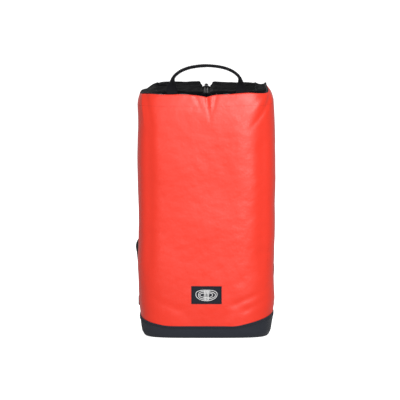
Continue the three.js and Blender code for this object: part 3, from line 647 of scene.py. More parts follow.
def boot_edge(distance):
    """Height of the boot's seam, by distance from the middle of the front: a smile, higher on the right."""
    right = smoothstep(distance, 50 * MM, 190 * MM)
    left = smoothstep(-distance, 75 * MM, 185 * MM)
    side = np.where(distance > 0, right, left)
    top = np.where(distance > 0, BOOT_SIDE + 9 * MM, BOOT_SIDE)
    back = smoothstep(np.abs(distance), 0.45 * MIDDLE_RING.around, 0.5 * MIDDLE_RING.around)
    top = top * (1 - back) + BOOT_SIDE * back
    front = BOOT_FRONT + 2.5 * MM
    return front + (top - front) * side


def rim_lift(distance):
    """How the walls' top edge rises and dips: a notch at the zip and a lifted right corner."""
    along = distance / MM
    notch = -6.0 * np.exp(-np.abs(along) / 15)
    swell = 2.6 * bump(along, 78, 34) + 15.0 * bump(along, 206, 58) - 5.5 * bump(along, -222, 52)
    return (notch + swell + 0.5 * np.sin(along / 11)) * MM


# Swells of the left and right side: height outwards, how far up, and reach up and down, in mm.
LEFT_SWELLS = [(4.6, 490, 30), (-2.4, 246, 42), (1.5, 148, 26), (-0.8, 45, 20)]
RIGHT_SWELLS = [(-9.0, 500, 11), (-1.2, 272, 36), (-1.4, 118, 34), (1.2, 76, 14)]


def side_swell(distance, z):
    """Small swells and hollows down the two sides, where the soft walls don't hang quite straight."""
    left = sum(height * bump(z / MM, *place) for height, *place in LEFT_SWELLS)
    right = sum(height * bump(z / MM, *place) for height, *place in RIGHT_SWELLS)
    on_right = smoothstep(distance, 110 * MM, 190 * MM)
    on_left = smoothstep(-distance, 110 * MM, 190 * MM)
    return (left * on_left + right * on_right) * MM


# Each fold of the wrap: where it starts and ends on the cloth, how wide and how high it is, in mm.
WRAP_FOLDS = [
    # Gathers under the zip's end.
    ((1, 497), (7, 452), 3.6, -1.5), ((19, 495), (8, 450), 3.8, -0.9),
    ((10, 496), (8, 462), 4.0, 0.8), ((-22, 497), (-10, 470), 5.0, -0.9),
    # Pulls at the two top corners.
    ((141, 494), (100, 442), 6.0, -3.4), ((128, 498), (92, 462), 6.5, 1.4),
    ((-139, 498), (-131, 440), 3.6, 2.6), ((-126, 497), (-116, 446), 5.5, -1.6),
    # Pulls above the boot, and faint ones across the sides.
    ((62, 72), (132, 104), 7, -1.1), ((84, 60), (138, 84), 7, -1.0), ((-60, 60), (-134, 92), 9, -0.8),
    ((-133, 210), (-80, 222), 9, -0.8), ((136, 330), (84, 352), 10, -0.8), ((137, 180), (88, 168), 9, -0.8),
]


def wrap_relief(distance, z):
    """Folds and creases of the coated cloth, in metres outwards."""
    along, up = distance / MM, z / MM
    relief = 0.95 * waves(along, up, 3, 14, 190, 60, (1, 1.6))
    relief = relief + 0.17 * waves(along, up, 5, 18, 45, 14, (1.6, 1))
    for fold in WRAP_FOLDS:
        relief = relief + crease(along, up, *fold)
    hollows = bump(along, 117, 13) + bump(along, -119, 12) - 0.5 * bump(along, 72, 30)
    relief = relief - 2.2 * hollows * smoothstep(up, 90, 190) * (1 - smoothstep(up, 400, 480))
    return relief * MM + side_swell(distance, z)


def back_relief(distance, z):
    along, up = distance / MM, z / MM
    return (0.6 * waves(along, up, 21, 12, 170, 50) + 0.2 * waves(along, up, 22, 14, 40, 12)) * MM


def wall_points(ends, heights_at, relief, inset=0.0):
    """Points and surface places of a wall. ends gives its two edges on an Outline; heights_at gives each
    column's heights from its distance along the middle ring."""
    levels = np.linspace(0, HEIGHT, 101)
    shares = np.linspace(0, 1, WALL_COLUMNS)
    table = []
    for z in levels:
        ring = Outline(z, inset)
        low, high = ends(ring)
        distance = low + shares * (high - low)
        x, y = ring.points(distance)
        table.append([x, y, *ring.normals(x, y), distance])
    table = np.array(table)
    heights = heights_at(np.linspace(*ends(MIDDLE_RING), WALL_COLUMNS))

    def at_heights(k):
        return np.stack([np.interp(heights[c], levels, table[:, k, c]) for c in range(WALL_COLUMNS)])

    x, y, nx, ny, distance = map(at_heights, range(5))
    out = relief(distance, heights)
    points = np.stack([x + nx * out, y + ny * out, heights], -1)
    return points, np.stack([distance, heights], -1)


def wrap_ends(ring):
    return -ring.corner + SEAM_INSET, ring.corner - SEAM_INSET


def back_ends(ring):
    return ring.corner + SEAM_INSET, 2 * ring.around - ring.corner - SEAM_INSET


def round_ends(ring):
    """The whole way round, one column short of meeting itself."""
    return -ring.around, ring.around - 2 * ring.around / WALL_COLUMNS


def add_wrap():
    def heights(distance):
        low = boot_edge(distance) - SEAM_LAP
        return low[:, None] + (HEIGHT - low)[:, None] * np.linspace(0, 1, 220)

    piece = Builder("red_wrap")
    points, uv = wall_points(wrap_ends, heights, wrap_relief)
    points[..., 2] += rim_lift(uv[..., 0]) * smoothstep(uv[..., 1], HEIGHT - 60 * MM, HEIGHT)
    piece.cloth(points, uv, CLOTH, 0, 1)
    normal = grid_normals(points)
    piece.stitches(points[4:-4, -12], normal[4:-4, -12], 2, 3.6 * MM, 0.28 * MM)
    for column in (5, -6):
        piece.stitches(points[column, 8:-6], normal[column, 8:-6], 2, 3.4 * MM, 0.3 * MM)
    piece.make([RED, LINING, RED_THREAD], "shell", ["front_and_side_wrap"])


def add_back_cloth():
    def heights(distance):
        column = np.linspace(BOOT_SIDE - SEAM_LAP, HEIGHT + SEAM_LAP, 160)
        return np.broadcast_to(column, (WALL_COLUMNS, 160))

    piece = Builder("back_cloth")
    points, uv = wall_points(back_ends, heights, back_relief)
    piece.cloth(points, uv, CLOTH, 0, 1)
    normal = grid_normals(points)
    for column in (8, -9):
        piece.stitches(points[column, 8:-6], normal[column, 8:-6], 2, 3.4 * MM, 0.35 * MM)
    piece.stitches(points[4:-4, -6], normal[4:-4, -6], 2, 3.4 * MM, 0.35 * MM)
    piece.make([NYLON, LINING, BLACK_THREAD], "shell", ["back_panel"])


# The boot's wall from the floor up: height above the floor and how far it is drawn in, in mm.
BOOT_ROUNDING = [(0, 6.5), (0.2, 3.5), (0.9, 1.4), (2.6, 0.25)]
BOOT_FOOT = 4 * MM
BOOT_CLOTH = 1.6 * MM


def boot_relief(distance, z):
    relief = 0.5 * waves(distance / MM, z / MM, 31, 10, 90, 25, (1, 0.6))
    return relief * MM * smoothstep(z, 0, 12 * MM) + side_swell(distance, z)


def add_boot():
    """The boot wraps under the base; its top edge is folded over the wrap and sewn down twice."""
    climb = np.linspace(0.12, 1, 22)
    folded = 0.6 * MM + 0.9 * MM * smoothstep(climb, 0.72, 0.8)
    stand = np.r_[[-inset * MM for _, inset in BOOT_ROUNDING], folded]

    def heights(distance):
        low = np.tile([height * MM for height, _ in BOOT_ROUNDING], (WALL_COLUMNS, 1))
        high = BOOT_FOOT + (boot_edge(distance) - BOOT_FOOT)[:, None] * climb
        return np.concatenate([low, high], 1)

    piece = Builder("boot")
    points, uv = wall_points(round_ends, heights, lambda distance, z: boot_relief(distance, z) + stand)
    piece.cloth(points, uv, BOOT_CLOTH, 0, 1, loop_u=True)
    for lift, slot, flip in ((0, 0, False), (BOOT_CLOTH, 1, True)):
        floor = np.stack([points[:, 0] * (share, share, 1) for share in (1, 0.97, 0.9, 0.7, 0.4, 0.02)], 1)
        floor[..., 2] += lift
        piece.grid(floor, floor[..., :2], slot, flip, loop_u=True)
    normal = grid_normals(points, True)
    for row in (-3, -5):
        loop = np.vstack([points[:, row], points[:1, row]])
        piece.stitches(loop, np.vstack([normal[:, row], normal[:1, row]]), 2, 3.6 * MM, 0.4 * MM)
    piece.make([BOOT, LINING, BLACK_THREAD], "shell", ["base_boot"])


def add_corner_pipings():
    for side, sign in SIDES:
        node = f"corner_piping_{side}"
        low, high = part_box(node)
        path = []
        for z in np.linspace(low.z - 3 * MM, high.z + 1 * MM, 60):
            ring = Outline(z, 0.6 * MM)
            x, y = ring.points(sign * ring.corner)
            path.append((x, y, z))
        piece = Builder(f"piping_{side}")
        piece.tube(path, 1.7 * MM, 0, 12, (0, 1, 0))
        piece.make([TAPE], "shell", [node])


def add_seam_tape():
    """The tape inside that covers the seam between the boot and the walls."""
    piece = Builder("inner_seam_tape")
    rows = np.linspace(-8, 8, 5) * MM
    inside = 3.4 * MM

    def heights(distance):
        return boot_edge(distance)[:, None] + rows

    points, uv = wall_points(round_ends, heights, lambda distance, z: 0 * distance, inside)
    piece.cloth(points, uv, 0.9 * MM, loop_u=True)
    piece.make([TAPE], "shell", ["base_seam_tape"])


def rim_path(start, end, count, inset, lift):
    """A path along the walls' top edge between two distances from the middle of the front."""
    ring = Outline(HEIGHT, inset)
    distance = np.linspace(start, end, count)
    x, y = ring.points(distance)
    signed = np.where(distance > ring.around, distance - 2 * ring.around, distance)
    nx, ny = ring.normals(x, y)
    swell = side_swell(signed, HEIGHT)
    path = np.stack([x + nx * swell, y + ny * swell, HEIGHT + lift + rim_lift(signed)], 1)
    return path, np.stack([nx, ny, 0 * nx], 1), signed


def add_top_binding():
    """A rolled edge along both sides and the back, sewn through with a row of stitches."""
    start = 118 * MM
    end = 2 * Outline(HEIGHT).around - start
    path, out, _ = rim_path(start, end, 320, 2.8 * MM, 0.4 * MM)
    share = np.linspace(0, 1, 320)
    radius = (0.8 + 1.5 * smoothstep(share, 0, 0.03) * (1 - smoothstep(share, 0.97, 1))) * MM
    piece = Builder("top_binding")
    piece.tube(path, radius, sides=12)
    upward = unit(out + (0, 0, 0.9))
    piece.stitches(path + upward * radius[:, None] * 0.98, upward, 1, 3.0 * MM, 0.3 * MM)
    piece.make([TAPE, BLACK_THREAD], "shell", ["top_edge_binding"])


def add_hem_highlight_strip():
    """A strip behind the front hem that peeps over it in places; its teal-grey colour is a painted highlight
    along the front edge.
    """
    path, _, distance = rim_path(-108 * MM, 108 * MM, 160, 2.6 * MM, 0)
    along = distance / MM
    # The strip shows in three places along the front, where the painted highlight is wanted.
    peep = (1.9 * (bump(along, -95, 9) + bump(along, -46, 14) + bump(along, 41, 11)) - 0.9) * MM
    rows = peep[:, None] - np.array([10, 6, 2, 0]) * MM
    points = path[:, None] + rows[..., None] * (0, 0, 1)
    uv = np.stack([points[..., 0], points[..., 2]], -1)
    piece = Builder("hem_facing")
    piece.cloth(points, uv, 0.8 * MM)
    piece.make([HEM_HIGHLIGHT_CLOTH], "shell")


add_wrap()
add_back_cloth()
add_boot()
add_corner_pipings()
add_seam_tape()
add_top_binding()
add_hem_highlight_strip()

# --- Lid: the fixed frame, the two cloths that part, and the zip ---

LID_RING = Outline(HEIGHT, 4.0 * MM)
LID_CLOTH = 1.2 * MM
WINDOW_X = 100 * MM
WINDOW_Y = ZIP_HALF_LENGTH
HEM_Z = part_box("top_flap_right")[1].z - 0.3 * MM

# Folds of the lid's right half, mirrored on the left: start, end, width and height in mm. The last two
# fan out from the handle's foot.
LID_FOLDS = [
    ((16, 66), (100, 50), 6, 2.2), ((104, 30), (30, 22), 7, 1.6), ((22, 36), (96, 8), 8, -1.8),
    ((66, -82), (34, -16), 7, 1.8), ((76, -80), (96, -10), 6, -1.6),
]


def lid_folds(x, y):
    """The slack lid cloth's folds over a field of smaller ripples."""
    across, back = x / MM, y / MM
    folds = 0.8 * waves(across, back, 11, 14, 80, 24, (2.4, 1))
    folds = folds + 0.28 * waves(across, back, 12, 16, 26, 9, (1.8, 1))
    for sign in (-1, 1):
        for (x0, y0), (x1, y1), width, height in LID_FOLDS:
            folds = folds + crease(across, back, (sign * x0, y0), (sign * x1, y1), width, height)
    return folds * MM


def lid_height(x, y):
    """The lid's cloth swells between the walls, sinks to the zip and turns down at its edge."""
    outward = LID_RING.reach(x, y)
    angle = np.degrees(np.arctan2(y, x))
    angle = np.where(angle > 90, angle - 360, angle)
    distance = np.interp(np.radians(angle), LID_RING.angle, LID_RING.at)
    forward = smoothstep(-y, 55 * MM, 88 * MM)
    edge = HEIGHT + 0.9 * rim_lift(distance) + (1.0 - 4.5 * forward) * MM
    swell = np.where(x < 0, 9.0, 8.5) * MM * smoothstep(y, -50 * MM, 62 * MM)
    top = LID_TOP - 1.2 * MM + swell + lid_folds(x, y)
    hem = HEM_Z + 3.0 * MM * smoothstep(y, 64 * MM, 76 * MM)
    from_hem = smoothstep(np.abs(x), HEM_X, HEM_X + 6 * MM)
    top = hem + (top - hem) * from_hem
    fall = smoothstep(outward, 0.8, 1.02)
    return top * (1 - fall) + edge * fall


def lid_points(x, y, lift=0.0):
    return np.stack([x, y, lid_height(x, y) + lift], -1)


def add_lid_frame(side, sign):
    """The fixed cloth round the mouth on three sides, from the zip's end round to its other end."""
    reach = 110
    corners = [(HEM_X, -WINDOW_Y), (WINDOW_X, -WINDOW_Y), (WINDOW_X, WINDOW_Y), (HEM_X, WINDOW_Y)]
    shares = [0, 0.34, 0.66, 1]
    along = np.linspace(0, 1, reach)
    inner = np.stack([np.interp(along, shares, [c[k] for c in corners]) for k in range(2)], 1)
    corner = math.atan2(-LID_RING.half_depth, LID_RING.half_width)
    turn = float(np.interp(corner, LID_RING.angle, LID_RING.at))
    marks = [HEM_X, turn, LID_RING.around - turn, LID_RING.around - HEM_X]
    distance = np.interp(along, shares, marks)
    outer = np.stack(LID_RING.points(distance), 1)
    outward = np.stack(LID_RING.normals(*outer.T), 1) * (sign, 1)
    shift = side_swell(sign * distance, HEIGHT)[:, None] * outward
    rows = np.linspace(0, 1, 26)[None, :, None]
    flat = inner[:, None] * (1 - rows) + outer[:, None] * rows
    points = lid_points(sign * flat[..., 0], flat[..., 1], 0.9 * MM)
    points[..., :2] += shift[:, None] * rows
    piece = Builder(f"lid_frame_{side}")
    piece.cloth(points, points[..., :2], LID_CLOTH, 0, 1, flip=sign > 0)
    normal = grid_normals(points) * -sign
    for row in (1, 3):
        piece.stitches(points[:, row], normal[:, row], 2, 3.2 * MM, 0.3 * MM)
    piece.make([NYLON, LINING, BLACK_THREAD], "shell", [f"top_panel_{side}"])


def add_lid_cloth(side, sign):
    """The loose cloth beside the zip."""
    tuck = 2 * MM
    x, y = np.meshgrid(np.linspace(HEM_X, WINDOW_X + tuck, 130),
                       np.linspace(-WINDOW_Y - tuck, WINDOW_Y + tuck, 170), indexing="ij")
    points = lid_points(sign * x, y)
    piece = Builder(f"lid_cloth_{side}")
    piece.cloth(points, points[..., :2], LID_CLOTH, 0, 1, flip=sign < 0)
    normal = grid_normals(points) * sign
    for column in (2, 5):
        piece.stitches(points[column, 2:-2], normal[column, 2:-2], 2, 3.0 * MM, 0.3 * MM)
    obj = piece.make([NYLON, LINING, BLACK_THREAD], "shell", [f"top_flap_{side}"])
    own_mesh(obj)


COIL_PITCH = 1.4 * MM
COIL_Z = 503.0 * MM


def coil(piece, sign, start, end, slot):
    """A row of coil turns along the zip's edge, between two places along Y."""
    turns = (end - start) / COIL_PITCH
    angle = np.linspace(0, 2 * math.pi * turns, int(14 * turns))
    y = start + angle / (2 * math.pi) * COIL_PITCH
    x = sign * (2.5 * MM + 1.4 * MM * np.cos(angle))
    z = COIL_Z + 0.5 * MM * np.sin(angle)
    piece.tube(np.stack([x, y, z], 1), 0.3 * MM, slot, 6, (0, 1, 0))


def tape_sheet(piece, xs, ys, height):
    """A zip tape seen from above; height gives its top face's height at each place."""
    x, y = np.meshgrid(xs, ys, indexing="ij")
    points = np.stack([x, y, height(x, y)], -1)
    mirrored = (xs[-1] - xs[0]) * (ys[-1] - ys[0]) < 0
    piece.cloth(points, np.stack([y, x], -1), 0.7 * MM, flip=mirrored)


def add_zip_edge(side, sign):
    low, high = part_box(f"zip_tape_{side}")
    inner, outer = 0.6 * MM, max(abs(low.x), abs(high.x))
    piece = Builder(f"zip_edge_{side}")
    xs = sign * np.linspace(inner, outer, 12)
    rows = np.linspace(low.y, high.y, 60)
    tape_sheet(piece, xs, rows, lambda x, y: 0 * x + high.z)
    coil(piece, sign, low.y + 0.5 * MM, high.y - 0.5 * MM, 1)
    for across in (4.9 * MM, 6.2 * MM):
        line = np.stack([0 * rows + sign * across, rows, 0 * rows + high.z], 1)
        piece.stitches(line, (0, 0, 1), 2, 2.4 * MM, 0.25 * MM)
    nodes = [f"zip_tape_{side}", f"zip_teeth_{side}"]
    piece.make([ZIP_CLOTH, COIL, BLACK_THREAD], f"zip_edge_{side}", nodes)


def add_zip_end(end, sign):
    """The closed length of zip past the mouth: both tapes, a short run of coil, and a turned-down end."""
    low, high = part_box(f"zip_end_tape_{end}")
    near = min(abs(low.y), abs(high.y))
    far = LID_RING.half_depth + 0.5 * MM
    drop = 7.0 * MM if sign < 0 else 1.6 * MM

    def height(x, y):
        return high.z - drop * smoothstep(np.abs(y), far - 6.5 * MM, far)

    piece = Builder(f"zip_end_{end}")
    ys = sign * np.linspace(near, far, 40)
    for half in (-1, 1):
        tape_sheet(piece, np.linspace(0.8 * MM, high.x, 10) * half, ys, height)
        coil_ends = sorted((sign * near, sign * (near + 12.5 * MM)))
        coil(piece, half, *coil_ends, 1)
    piece.make([ZIP_CLOTH, COIL], "shell", [f"zip_end_tape_{end}"])


def add_zip_cover():
    """A folded tab sewn over the zip's back end, low enough for the pull to lie across it."""
    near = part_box("zip_stop_back")[1].y + 1.5 * MM
    far = LID_RING.half_depth + 2 * MM
    base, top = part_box("zip_end_tape_back")[1].z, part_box("zip_pull_grip")[0].z - 0.5 * MM
    x, y = np.meshgrid(np.linspace(-HEM_X, HEM_X, 26), np.linspace(near, far, 16), indexing="ij")
    across, along = x / HEM_X, 2 * (y - near) / (far - near) - 1
    crown = (1 - np.abs(across) ** 6) * (1 - np.abs(along) ** 4)
    points = np.stack([x, y, base + (top - base) * (0.2 + 0.8 * crown)], -1)
    piece = Builder("zip_end_cover")
    piece.cloth(points, np.stack([y, x], -1), 1.0 * MM)
    for shift in (-6 * MM, 6 * MM):
        column = int(round((shift + HEM_X) / (2 * HEM_X) * 25))
        piece.stitches(points[column, 2:-2], (0, 0, 1), 1, 2.4 * MM, 0.3 * MM)
    piece.make([TAPE, BLACK_THREAD], "shell")


for side, sign in SIDES:
    add_lid_frame(side, sign)
    add_lid_cloth(side, sign)
    add_zip_edge(side, sign)
add_zip_cover()
add_zip_end("front", -1)
add_zip_end("back", 1)

# --- Zip pull grip, handle and label ---


def add_pull_grip():
    """A loop of cord through the pull's end, held in a ribbed moulded grip."""
    low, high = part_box("zip_pull_grip")
    middle = (low.z + high.z) / 2
    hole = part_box("zip_pull")[1].y - 2.8 * MM
    piece = Builder("pull_grip")
    loop = catmull([(1.1, low.y / MM + 1, 0), (1.0, hole / MM + 2.6, 1.4), (0.9, hole / MM, 0),
                    (0, hole / MM - 0.4, -1.6), (-0.9, hole / MM, 0), (-1.0, hole / MM + 2.6, 1.4),
                    (-1.1, low.y / MM + 1, 0)], 40)
    piece.tube(loop * MM + (0, 0, middle), 0.75 * MM, 1, 8, (0, 0, 1))
    turn = full_turn(18)

    def section(share):
        body = 0.62 + 0.38 * math.sin(math.pi * min(share * 1.2, 1) ** 0.8)
        rib = 1 - 0.09 * (0.5 + 0.5 * math.cos(share * 2 * math.pi * 8))
        ends = min(share, 1 - share, 0.06) / 0.06
        size = body * rib * (0.35 + 0.65 * math.sqrt(ends))
        return np.stack([3.0 * MM * size * np.cos(turn), 1.9 * MM * size * np.sin(turn)], 1)

    path = np.stack([np.zeros(90), np.linspace(low.y, high.y, 90), np.full(90, middle)], 1)
    piece.sweep(path, (1, 0, 0), section)
    piece.make([PLASTIC, TAPE], "pull", ["zip_pull_grip"])


HANDLE_FOOT = middle_of("handle_anchor_right")
HANDLE_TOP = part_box("handle_webbing")[1].z
FOLD = joint_place("handle_fold")


def handle_size(folded):
    """The handle's width and thickness; folding it in half makes it narrower and thicker."""
    return (22.5 - 6.5 * folded) * MM, (2.4 + 3.0 * folded) * MM


def add_handle():
    """One length of webbing from foot to foot. Above each foot it turns edge-on and is folded in half."""
    foot, crown = HANDLE_FOOT.x / MM, HANDLE_TOP / MM - 2.6
    half = [(foot, 482), (foot, 504), (foot - 0.2, 514), (foot - 1, 524), (foot - 3, 533.5),
            (foot - 9.5, 541.5), (foot - 23, 550), (foot - 43, crown - 2.6), (0, crown)]
    points = half + [(-x, z) for x, z in half[-2::-1]]
    path = resample(catmull([(x, FOLD[1] / MM, z) for x, z in points], 900), 360) * MM
    turn = smoothstep(path[:, 2], HEIGHT + 3 * MM, HEIGHT + 39 * MM)
    angle = np.radians(88) * turn
    lean = np.where(path[:, 0] > 0, 1, -1)
    along = unit(np.gradient(path, axis=0))
    out = np.array([0.0, -1.0, 0.0])
    flat = unit(np.cross(along, out))
    across = flat * np.cos(angle)[:, None] + out * (lean * np.sin(angle))[:, None]
    length = lengths(path) / lengths(path)[-1]
    side, rise = rounded(full_turn(28), *WEBBING_EDGE)

    def section(share):
        folded = float(np.interp(share, length, turn))
        wide, thick = handle_size(folded)
        groove = 1 - 0.18 * folded * np.exp(-((rise / 0.25) ** 2)) * (side < 0)
        return np.stack([wide / 2 * side * groove, thick / 2 * rise], 1)

    piece = Builder("handle")
    through = piece.sweep(path, across, section)
    grip = turn > 0.6
    wide, thick = handle_size(turn[:, None])
    for side_share in (-0.33, 0.33):
        for face in (-1, 1):
            line = path + across * wide * side_share + through * face * (thick / 2 + 0.05 * MM)
            piece.stitches(line[grip], (through * face)[grip], 1, 3.4 * MM, 0.42 * MM)
    for sign in (-1, 1):
        add_box_stitch(piece, sign * foot * MM)
    obj = piece.make([WEBBING, BLACK_THREAD], None,
                     ["handle_webbing", "handle_anchor_left", "handle_anchor_right"])
    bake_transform(obj)


def add_box_stitch(piece, middle):
    """A sewn box with a cross on a handle's foot, below the fold."""
    half = 10 * MM
    front = FOLD[1] - 1.3 * MM
    for line in crossed_box(middle - half, middle + half, HEIGHT - 16 * MM, HEIGHT - 2 * MM, 8):
        line = np.insert(line, 1, front, axis=1)
        piece.stitches(line, (0, -1, 0), 1, 3.0 * MM, 0.4 * MM)


def front_point(x, z, stand):
    return np.stack([x, -(wall_depth(x, z) + stand), z], -1)


def add_label():
    """A sewn patch with a row of stitches round its edge. Its motif is a plain coil of rope in thick
    embroidery.
    """
    low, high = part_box("label_patch")
    middle = (low.z + high.z) / 2
    piece = Builder("label")

    def on_patch(x, z, lift=0.0):
        return front_point(x, z, 1.4 * MM + wrap_relief(x, z) + lift)

    x, z = np.meshgrid(np.linspace(-high.x, high.x, 60), np.linspace(low.z, high.z, 40), indexing="ij")
    piece.cloth(on_patch(x, z), np.stack([x, z], -1), 1.1 * MM)
    inset = 1.6 * MM
    right, bottom, top = high.x - inset, low.z + inset, high.z - inset
    corners = [(-right, bottom), (right, bottom), (right, top), (-right, top), (-right, bottom)]
    edge = on_patch(*resample(corners, 200).T, 0.1 * MM)
    piece.stitches(edge, (0, -1, 0), 1, 2.4 * MM, 0.35 * MM)
    for wide, tall, shift in ((21.5, 11.0, 0), (17.2, 7.9, 0.3), (12.8, 4.8, -0.2)):
        turn = np.linspace(0, 2 * math.pi, 160)
        bend = 1 + 0.05 * np.sin(3 * turn + shift * 4)
        across, up = rounded(turn, 1, 0.8)
        loop = (wide * MM * across * bend + shift * MM, middle + tall * MM * up * bend)
        piece.tube(on_patch(*loop, 0.35 * MM), 0.7 * MM, 2, 8, (0, -1, 0))
    along = np.linspace(-1, 1, 24) * MM
    for x0 in np.linspace(-4.4, 4.4, 4) * MM:
        strand = on_patch(x0 + 0.5 * along, middle + 11 * along, 1.0 * MM)
        piece.tube(strand, 0.8 * MM, 2, 8, (1, 0, 0))
    piece.make([LABEL, BLACK_THREAD, WHITE_THREAD], "shell", ["label_patch"])


add_pull_grip()
add_handle()
add_label()

# --- Back pad, yoke and shoulder straps ---


def shown_mesh(obj):
    """The mesh as its modifiers leave it, with the modifiers taken off."""
    graph = bpy.context.evaluated_depsgraph_get()
    mesh = bpy.data.meshes.new_from_object(obj.evaluated_get(graph))
    obj.modifiers.clear()
    obj.data = mesh
    return mesh


def coordinates(mesh):
    points = np.zeros(len(mesh.vertices) * 3)
    mesh.vertices.foreach_get("co", points)
    return points.reshape(-1, 3)


def puff(obj, cap):
    """Fills a pad with air in a short cloth simulation; no point moves further than the cap."""
    remesh = obj.modifiers.new("remesh", "REMESH")
    remesh.mode = "VOXEL"
    remesh.voxel_size = 5 * MM
    rest = coordinates(shown_mesh(obj))
    cloth = obj.modifiers.new("cloth", "CLOTH")
    cloth.settings.use_pressure = True
    cloth.settings.uniform_pressure_force = 4
    cloth.settings.effector_weights.gravity = 0
    for number in range(1, 21):
        bpy.context.scene.frame_set(number)
    moved = coordinates(shown_mesh(obj)) - rest
    bpy.context.scene.frame_set(1)
    reach = np.maximum(np.linalg.norm(moved, axis=1, keepdims=True), 1e-9)
    rest = rest + moved * np.minimum(1, cap / reach)
    obj.data.vertices.foreach_set("co", rest.ravel())
    smooth = obj.modifiers.new("smooth", "SUBSURF")
    smooth.levels = smooth.render_levels = 1
    mesh = shown_mesh(obj)
    mesh.polygons.foreach_set("use_smooth", np.ones(len(mesh.polygons), bool))
    return mesh


def move_points(mesh, change):
    points = coordinates(mesh)
    mesh.vertices.foreach_set("co", change(points).ravel())
    mesh.update()


PAD_LOW, PAD_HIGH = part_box("back_pad")
PAD_MIDDLE = (PAD_LOW.z + PAD_HIGH.z) / 2
PAD_REACH = (PAD_HIGH.z - PAD_LOW.z) / 2
PAD_LAY = 0.8 * MM
PAD_CHANNELS = [PAD_MIDDLE + share * PAD_REACH for share in (-0.52, 0, 0.52)]


def back_point(x, z, stand):
    return np.stack([x, wall_depth(x, z) + stand, z], -1)


def pad_outline(inset, count):
    """The back pad's rounded outline across X and Z."""
    across, up = rounded(np.linspace(0, 2 * math.pi, count), 0.28, 0.2)
    return (PAD_HIGH.x - inset) * across, PAD_MIDDLE + (PAD_REACH - inset) * up


def add_back_pad():
    """A foam pad in air mesh with sewn channels and a bound edge."""
    shell = Builder("back_pad_mesh")
    x, z = (places[:-1] for places in pad_outline(3 * MM, 160))
    face = [(0.02, 7.5), (0.5, 7.5), (0.86, 6.8), (0.96, 4.6), (1, 2.6)]
    underside = [(share, PAD_LAY / MM) for share in (0.96, 0.5, 0.02)]
    points = np.stack([back_point(x * share, PAD_MIDDLE + (z - PAD_MIDDLE) * share, stand * MM)
                       for share, stand in face + underside], 1)
    shell.grid(points, points[..., ::2], flip=True, loop_u=True)
    obj = shell.make([MESH], None, ["back_pad"])
    mesh = puff(obj, 3 * MM)

    def channels(points):
        x, y, z = points.T
        inner = wall_depth(np.clip(x, -PAD_HIGH.x, PAD_HIGH.x), z) + PAD_LAY
        stand = np.maximum(y - inner, 0)
        lanes = bump(x, 0, 5 * MM)
        for height in PAD_CHANNELS:
            lanes = np.maximum(lanes, bump(z - 0.1 * np.abs(x), height, 4 * MM))
        return np.stack([x, inner + stand * (1 - 0.55 * lanes), z], 1)

    move_points(mesh, channels)
    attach(obj, "shell")
    edge = Builder("back_pad_edge")
    x, z = pad_outline(1.5 * MM, 400)
    edge.tube(back_point(x, z, 2.6 * MM), 2.2 * MM, 0, 10, (0, 1, 0))
    edge.stitches(back_point(x * 0.985, PAD_MIDDLE + (z - PAD_MIDDLE) * 0.993, 4.6 * MM), (0, 1, 0), 1)
    for height in PAD_CHANNELS:
        for sign in (-1, 1):
            across = np.linspace(4 * MM, PAD_HIGH.x - 8 * MM, 30)
            line = back_point(sign * across, height + 0.1 * across, 4.3 * MM)
            edge.stitches(line, (0, 1, 0), 1, 3.4 * MM, 0.4 * MM)
    edge.make([TAPE, BLACK_THREAD], "shell")


def add_yoke():
    low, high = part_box("strap_yoke")
    x, z = np.meshgrid(np.linspace(low.x, high.x, 70), np.linspace(low.z, high.z, 20), indexing="ij")
    piece = Builder("strap_yoke_webbing")
    piece.cloth(back_point(x, z, 3.6 * MM), np.stack([x, z], -1), 2.8 * MM, flip=True)
    face = 3.7 * MM
    inset = 5 * MM
    for sign in (-1, 1):
        for line in crossed_box(sign * 20 * MM, sign * (high.x - inset), low.z + inset, high.z - inset, 30):
            piece.stitches(back_point(line[:, 0], line[:, 1], face), (0, 1, 0), 1, 3.2 * MM, 0.5 * MM)
    piece.make([WEBBING, BLACK_THREAD], "shell", ["strap_yoke"])


def strap_route(side):
    """The padded strap's centre line, from the line that it swings on to just above its buckle."""
    axis = joint_place(f"strap_{side}_swing")
    lock = f"ladder_lock_{side}"
    end = np.array([*middle_of(lock).xy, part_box(lock)[1].z + 2 * MM])
    full = axis[1] + (end[1] - axis[1]) / 0.8
    route = [(0, 0, 0), (0.08, 0.14, 0.45), (0.36, 0.4, 1), (0.78, 0.7, 1), (0.98, 0.9, 0.85), (1, 1, 0.8)]
    points = [(axis[0] + (end[0] - axis[0]) * out, axis[1] + (full - axis[1]) * stand,
               axis[2] + (end[2] - axis[2]) * down) for out, down, stand in route]
    return resample(catmull(points, 600), 120)


def strap_size(share):
    swell = smoothstep(share, 0, 0.2)
    narrow = 1 - 0.45 * smoothstep(share, 0.8, 1)
    return 60 * MM * (0.7 + 0.3 * swell) * narrow, (6 + 6 * swell) * MM * narrow


def add_shoulder_pad(side, route):
    """A foam strap in air mesh; its edges are pinched into a bound seam."""
    shares = np.linspace(0, 1, len(route))
    across, through = rounded(full_turn(32), 0.5, 0.7)

    def section(share):
        wide, thick = strap_size(share)
        return np.stack([(wide / 2 - 1.5 * MM) * across, (thick / 2 - 1.2 * MM) * through], 1)

    shell = Builder(f"shoulder_pad_mesh_{side}")
    shell.sweep(route, (1, 0, 0), section)
    obj = shell.make([MESH], None, [f"shoulder_pad_{side}"])
    puff(obj, 1.6 * MM)
    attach(obj, f"strap_{side}")
    edge = Builder(f"shoulder_pad_edge_{side}")
    wide = np.array([strap_size(share)[0] for share in shares])
    corner_in = smoothstep(shares, 0, 0.02) * (1 - smoothstep(shares, 0.98, 1))
    aside = (wide / 2 - 2.2 * MM * (1 - corner_in))[:, None] * (1, 0, 0)
    ring = resample(np.vstack([route + aside, (route - aside)[::-1], (route + aside)[:1]]), 420)
    edge.tube(ring, 1.9 * MM, 0, 10, (0, 1, 0))
    edge.make([TAPE], f"strap_{side}")


